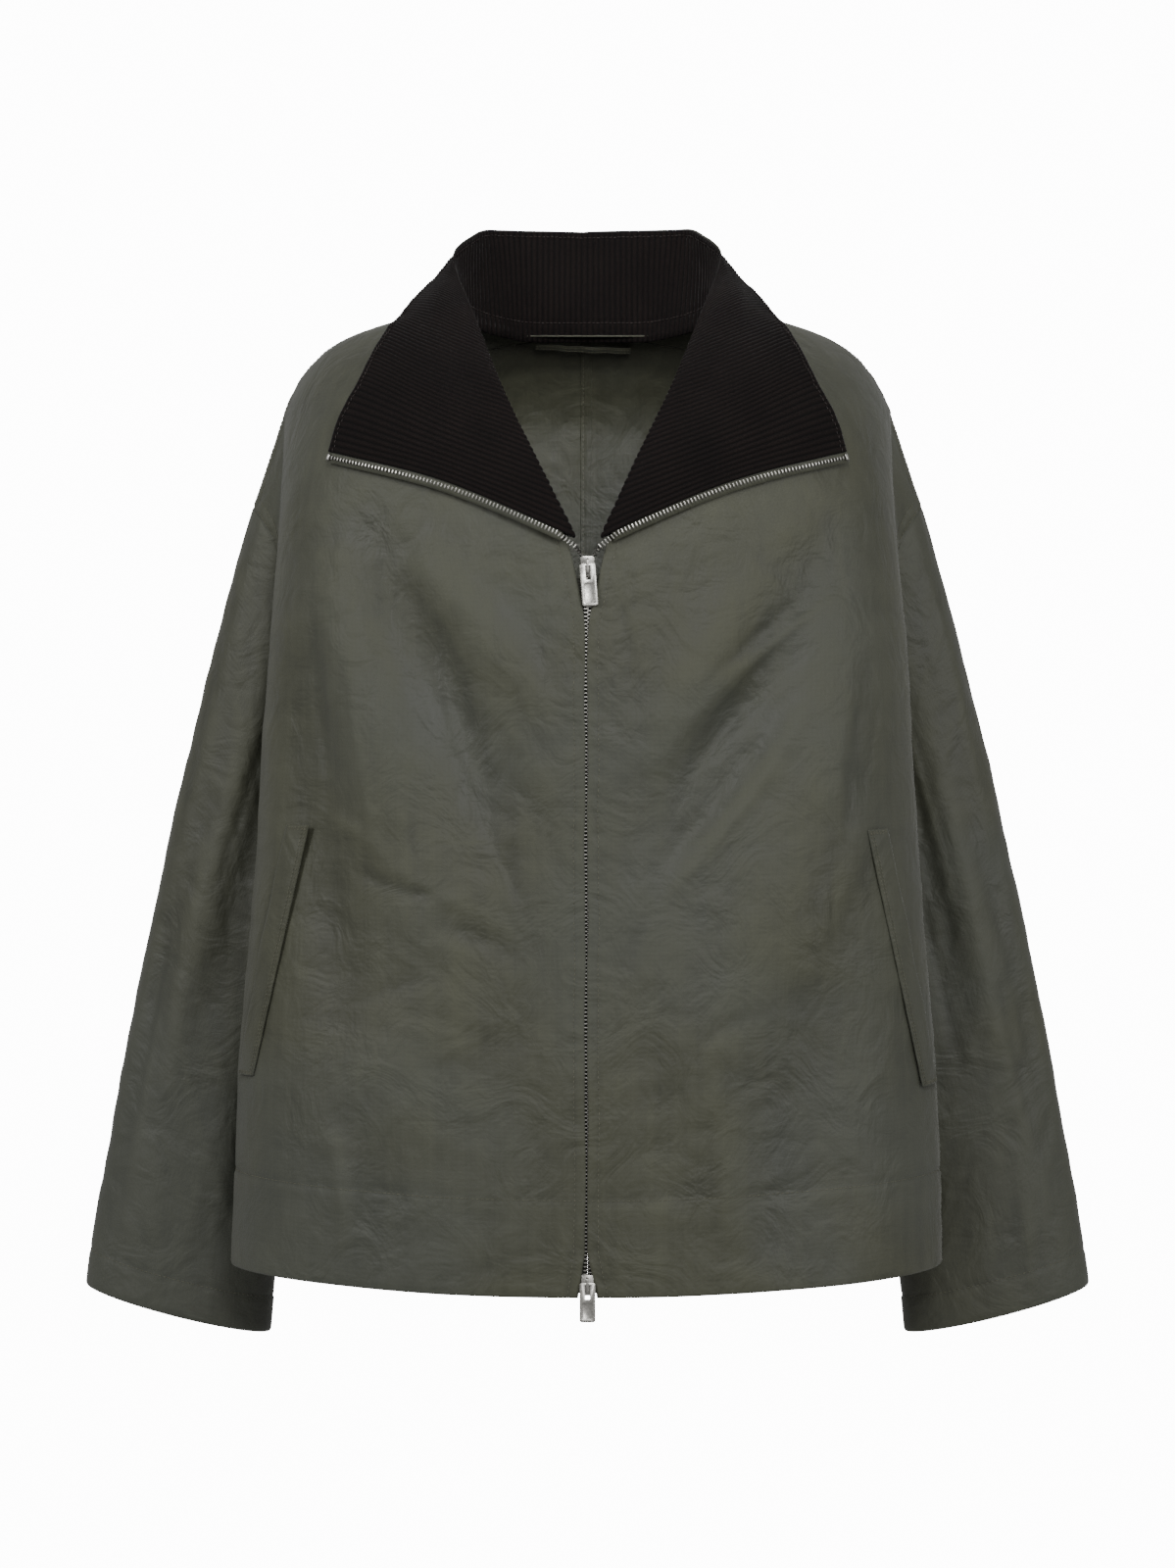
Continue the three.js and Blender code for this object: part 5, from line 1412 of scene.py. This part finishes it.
def as_numbers(mesh):
    corners = np.empty(len(mesh.vertices) * 3)
    mesh.vertices.foreach_get("co", corners)
    return corners.reshape(-1, 3), [list(face.vertices) for face in mesh.polygons]


def only(*objects):
    """Selects these objects and no others, and makes the last of them active."""
    bpy.ops.object.select_all(action="DESELECT")
    for one in objects:
        one.select_set(True)
    bpy.context.view_layer.objects.active = objects[-1]


def choose(piece, test):
    """In edit mode, selects the faces of a piece whose middle and normal pass a test."""
    shape = bmesh.from_edit_mesh(piece.data)
    for face in shape.faces:
        face.select_set(False)
    shape.select_flush(False)
    for face in shape.faces:
        if test(face.calc_center_median(), face.normal):
            face.select_set(True)
    bmesh.update_edit_mesh(piece.data)


def block(place, size):
    """A box at a place, in millimetres, selected on its own."""
    bpy.ops.object.select_all(action="DESELECT")
    bpy.ops.mesh.primitive_cube_add(size=1, location=place)
    piece = bpy.context.object
    piece.scale = size
    bpy.ops.object.transform_apply(location=True, rotation=False, scale=True)
    return piece


def round_off(piece, width, segments):
    """Bevels every edge of the piece that is active."""
    bevel = piece.modifiers.new("rounded", "BEVEL")
    bevel.width = width
    bevel.segments = segments
    bpy.ops.object.modifier_apply(modifier="rounded")


# one tooth, its head towards -X and its legs round the tape towards +X, a millimetre a unit
tooth = block((0, 0, 0), (2.0, 2.1, 0.95))
bpy.ops.object.mode_set(mode="EDIT")
bpy.ops.mesh.select_mode(type="FACE")
choose(tooth, lambda middle, normal: normal.x < -0.9)
bpy.ops.mesh.extrude_region_move(TRANSFORM_OT_translate={"value": (-1.0, 0, 0)})
bpy.ops.transform.resize(value=(1, 0.7, 0.72), center_override=(-2, 0, 0))
choose(tooth, lambda middle, normal: normal.x > 0.9)
bpy.ops.mesh.extrude_region_move(TRANSFORM_OT_translate={"value": (0.9, 0, 0)})
bpy.ops.transform.resize(value=(1, 0.8, 0.8), center_override=(1.9, 0, 0))
bpy.ops.object.mode_set(mode="OBJECT")
round_off(tooth, 0.16, 1)
TOOTH_POINTS, TOOTH_FACES = as_numbers(tooth.data)
bpy.data.objects.remove(tooth)


def tooth_row(name, places, nodes):
    """Teeth at places, each a middle and three axes: away from the head, out of the cloth, along."""
    points, faces = [], []
    for middle, away, out, along in places:
        start = len(points) * len(TOOTH_POINTS)
        points.append(middle + TOOTH_POINTS @ np.array([away, out, along]))
        faces += [[start + k for k in face] for face in TOOTH_FACES]
    mesh = bpy.data.meshes.new(name)
    mesh.from_pydata(np.concatenate(points) * MM, [], faces)
    mesh.materials.append(nickel)
    mesh.update()
    if sum_volume(mesh) < 0:
        mesh.flip_normals()
    piece = bpy.data.objects.new(name, mesh)
    bpy.context.scene.collection.objects.link(piece)
    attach(piece, "jacket")
    if nodes:
        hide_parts(*nodes)


def chain_y(z):
    return face_y("front", LEFT, ZIP_GAP, z) + ZIP_SET_BACK


for side_name, side in SIDES.items():
    count = int((SLIDER_Z - LOWER_SLIDER_Z) / TOOTH_PITCH)
    places = []
    for k in range(count):
        z = LOWER_SLIDER_Z + (k + (0.25 if side == LEFT else 0.75)) * TOOTH_PITCH
        lean = chain_y(z + 2) - chain_y(z - 2)
        along = np.array([0, lean, 4]) / math.hypot(lean, 4)
        out = np.cross(along, [-1, 0, 0])
        x = 1.6 if side == LEFT else -1.15
        places.append((np.array([x, chain_y(z), z]), np.array([side * 0.95, 0, 0]), out, along))
    tooth_row(f"zip_teeth_closed_{side_name}", places, ["zip_chain"] if side == LEFT else [])

# where each open row runs: out of the upper slider, then on the shell's edge to the lapel's tip
SLIDER_MOUTH = np.array([
    [3.0, -124.9, -160.2, -1.0, 0.0, -0.1],
    [4.0, -124.8, -157.4, -0.7, -0.5, -0.5],
    [5.6, -128.4, -155.2, -0.2, -0.45, -0.85],
    [7.6, -131.4, -152.4, 0.0, -0.1, -1.0],
])  # middle of the row, then the way its heads point
chain_ends = {}
for side_name, side in SIDES.items():
    share = np.linspace(0.03, 0.985, 300)
    edges = []
    for s in (FACING_END, 1.0):
        v = shell_start(np.array(s)) + (1 - shell_start(np.array(s))) * share
        s_line = np.full(len(v), s)
        edges.append(collar_point(side, s_line, v) - collar_normal(side, s_line, v) * (PILE + SEAM))
    heads = unit(edges[1] - edges[0])
    run = np.gradient((edges[0] + edges[1]) / 2, axis=0)
    out = np.cross(heads, run)
    out *= np.sign(-out[:, 1:2]) / np.linalg.norm(out, axis=1, keepdims=True)
    place_on = np.interp(share, [0, 1], [0.34, 0.5])[:, None]  # the cloth shows below it near the slider
    middle = edges[0] * (1 - place_on) + edges[1] * place_on + out * (SEAM + 0.1 + OPEN_THICK / 2)
    mouth = SLIDER_MOUTH * [side, 1, 1, side, 1, 1]
    path = np.concatenate([mouth[:, :3], middle])
    point_to = np.concatenate([mouth[:, 3:], heads])
    walk = path_walk(path)
    marks = np.arange(0.6, walk[-1] - 1.5, TOOTH_PITCH)
    spot, ahead, behind, heading = (
        np.stack([np.interp(marks + further, walk, line[:, c]) for c in range(3)], -1)
        for further, line in ((0, path), (0.8, path), (-0.8, path), (0, point_to))
    )
    places = []
    for k in range(len(marks)):
        along = (ahead[k] - behind[k]) / np.linalg.norm(ahead[k] - behind[k])
        away = -(heading[k] - along * heading[k].dot(along))
        away /= np.linalg.norm(away)
        size = 0.86 - 0.2 * marks[k] / walk[-1]
        places.append((spot[k], away * size, np.cross(along, away) * 0.8, along))
    tooth_row(f"zip_teeth_open_{side_name}", places, [f"zip_chain_{side_name}"])
    chain_ends[side] = (middle[-1] + (middle[-1] - middle[-5]) * 0.2, heads[-1], out[-1])

# Zip stops
# A small rounded metal block, crimped over the tape, ends each row at its lapel's tip.
for side_name, side in SIDES.items():
    stop = block((0, 0, 0), (4.2, 2.3, 2.4))
    stop.name = f"zip_stop_{side_name}_block"
    round_off(stop, 0.7, 3)
    bpy.ops.object.shade_smooth()
    middle, head, out = chain_ends[side]
    along = np.cross(head, out)
    turn = Matrix([[head[i], out[i], along[i]] for i in range(3)]).to_4x4()
    stop.data.transform(Matrix.Scale(MM, 4) @ Matrix.Translation(middle) @ turn)
    stop.data.materials.append(nickel)
    if sum_volume(stop.data) < 0:
        stop.data.flip_normals()
    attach(stop, "jacket")
    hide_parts(f"zip_stop_{side_name}")


# Sliders
# Die cast and nickel plated: two plates joined by a post, with a throat between them that brings
# the rows together, and a bail in front that holds the pull tab. The lower one is upside down.
def cut(piece, cutter):
    """Cuts one piece out of another and removes the cutter."""
    only(cutter, piece)
    boolean = piece.modifiers.new("cut", "BOOLEAN")
    boolean.operation = "DIFFERENCE"
    boolean.solver = "EXACT"
    boolean.object = cutter
    bpy.ops.object.modifier_apply(modifier="cut")
    bpy.data.objects.remove(cutter)


def bevel_edges(piece, test, width, segments):
    """In edit mode, rounds the edges whose ends pass a test."""
    only(piece)
    bpy.ops.object.mode_set(mode="EDIT")
    bpy.ops.mesh.select_mode(type="EDGE")
    bpy.ops.mesh.select_all(action="DESELECT")
    shape = bmesh.from_edit_mesh(piece.data)
    for edge in shape.edges:
        if test(edge.verts[0].co, edge.verts[1].co):
            edge.select_set(True)
    bmesh.update_edit_mesh(piece.data)
    bpy.ops.mesh.bevel(offset=width, segments=segments, affect="EDGES")
    bpy.ops.object.mode_set(mode="OBJECT")


def finish_metal(piece, name, place, turn, width):
    """Softens the casting's edges, puts it in its place and plates it."""
    only(piece)
    bevel = piece.modifiers.new("soft_edges", "BEVEL")
    bevel.width = width
    bevel.segments = 2
    bevel.limit_method = "ANGLE"
    bevel.angle_limit = math.radians(40)
    bpy.ops.object.modifier_apply(modifier="soft_edges")
    bpy.ops.object.shade_smooth_by_angle(angle=math.radians(35))
    piece.name = name
    piece.data.transform(Matrix.Scale(MM, 4) @ Matrix.Translation(place) @ turn)
    piece.data.materials.clear()
    piece.data.materials.append(nickel)
    if sum_volume(piece.data) < 0:
        piece.data.flip_normals()


SLIDERS = [
    {"name": "top", "z": SLIDER_Z, "up": 1, "length": 27, "turn": -4},
    {"name": "bottom", "z": LOWER_SLIDER_Z, "up": -1, "length": 24.5, "turn": 0},
]
for slider in SLIDERS:
    up = slider["up"]
    body = block((0, 0, 0), (9, 4.9, 12.8))
    bpy.ops.object.mode_set(mode="EDIT")
    bpy.ops.mesh.select_mode(type="FACE")
    choose(body, lambda middle, normal: normal.z * up < -0.9)
    bpy.ops.transform.resize(value=(0.78, 1, 1), center_override=(0, 0, -6.4 * up))
    bpy.ops.object.mode_set(mode="OBJECT")
    bevel_edges(body, lambda a, b: a.z * up > 6 and b.z * up > 6 and abs(a.x - b.x) < 0.1, 1.9, 4)
    cut(body, block((0, 0, -2.6 * up), (12, 2.9, 8.2)))
    for x in (-4.3, 4.3):
        cut(body, block((x, 0, 4 * up), (6, 2.9, 6)))
    bail = block((0, -3.8, 0), (1.6, 2.9, 9.8))
    bevel_edges(bail, lambda a, b: a.y < -5 and b.y < -5 and abs(a.z - b.z) < 0.1, 1.3, 3)
    cut(bail, block((0, -3.55, 0), (3, 2.4, 6.6)))
    only(bail, body)
    bpy.ops.object.join()
    body = bpy.context.object
    place = (0, float(chain_y(slider["z"])), slider["z"])
    finish_metal(body, f"slider_{slider['name']}_body", place, Matrix.Identity(4), 0.28)
    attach(body, "jacket")
    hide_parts(f"slider_{slider['name']}")


# Pull tabs
# A flat cast tab hangs from each slider's bail through a long window, with a shallow panel
# pressed in below the window on its front. It swings up and over on the bail.
TAB_WIDE, TAB_THICK, HINGE_Y, HINGE_Z, LEAN = 9.8, 1.4, -3.6, 0.9, -4.5
for slider in SLIDERS:
    length = slider["length"]
    tab = block((0, 0, 0.8 - length / 2), (TAB_WIDE, TAB_THICK, length))
    bevel_edges(tab, lambda a, b: abs(a.x - b.x) < 0.1 and abs(a.z - b.z) < 0.1, 1.5, 4)
    cut(tab, block((0, 0, -5.1), (3.0, 4, 8.8)))
    panel_top, panel_end = -12.0, -length + 2.6
    recess = block((0, -TAB_THICK / 2, (panel_top + panel_end) / 2), (6.4, 0.7, panel_top - panel_end))
    bevel_edges(recess, lambda a, b: abs(a.x - b.x) < 0.1 and abs(a.z - b.z) < 0.1, 1.1, 3)
    cut(tab, recess)
    turn = Matrix.Rotation(math.radians(slider["turn"]), 4, "Y") @ Matrix.Rotation(math.radians(LEAN), 4, "X")
    place = (0, float(chain_y(slider["z"])) + HINGE_Y, slider["z"] + HINGE_Z)
    finish_metal(tab, f"pull_{slider['name']}_tab", place, turn, 0.2)
    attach(tab, f"pull_{slider['name']}")
    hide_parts(f"pull_{slider['name']}")
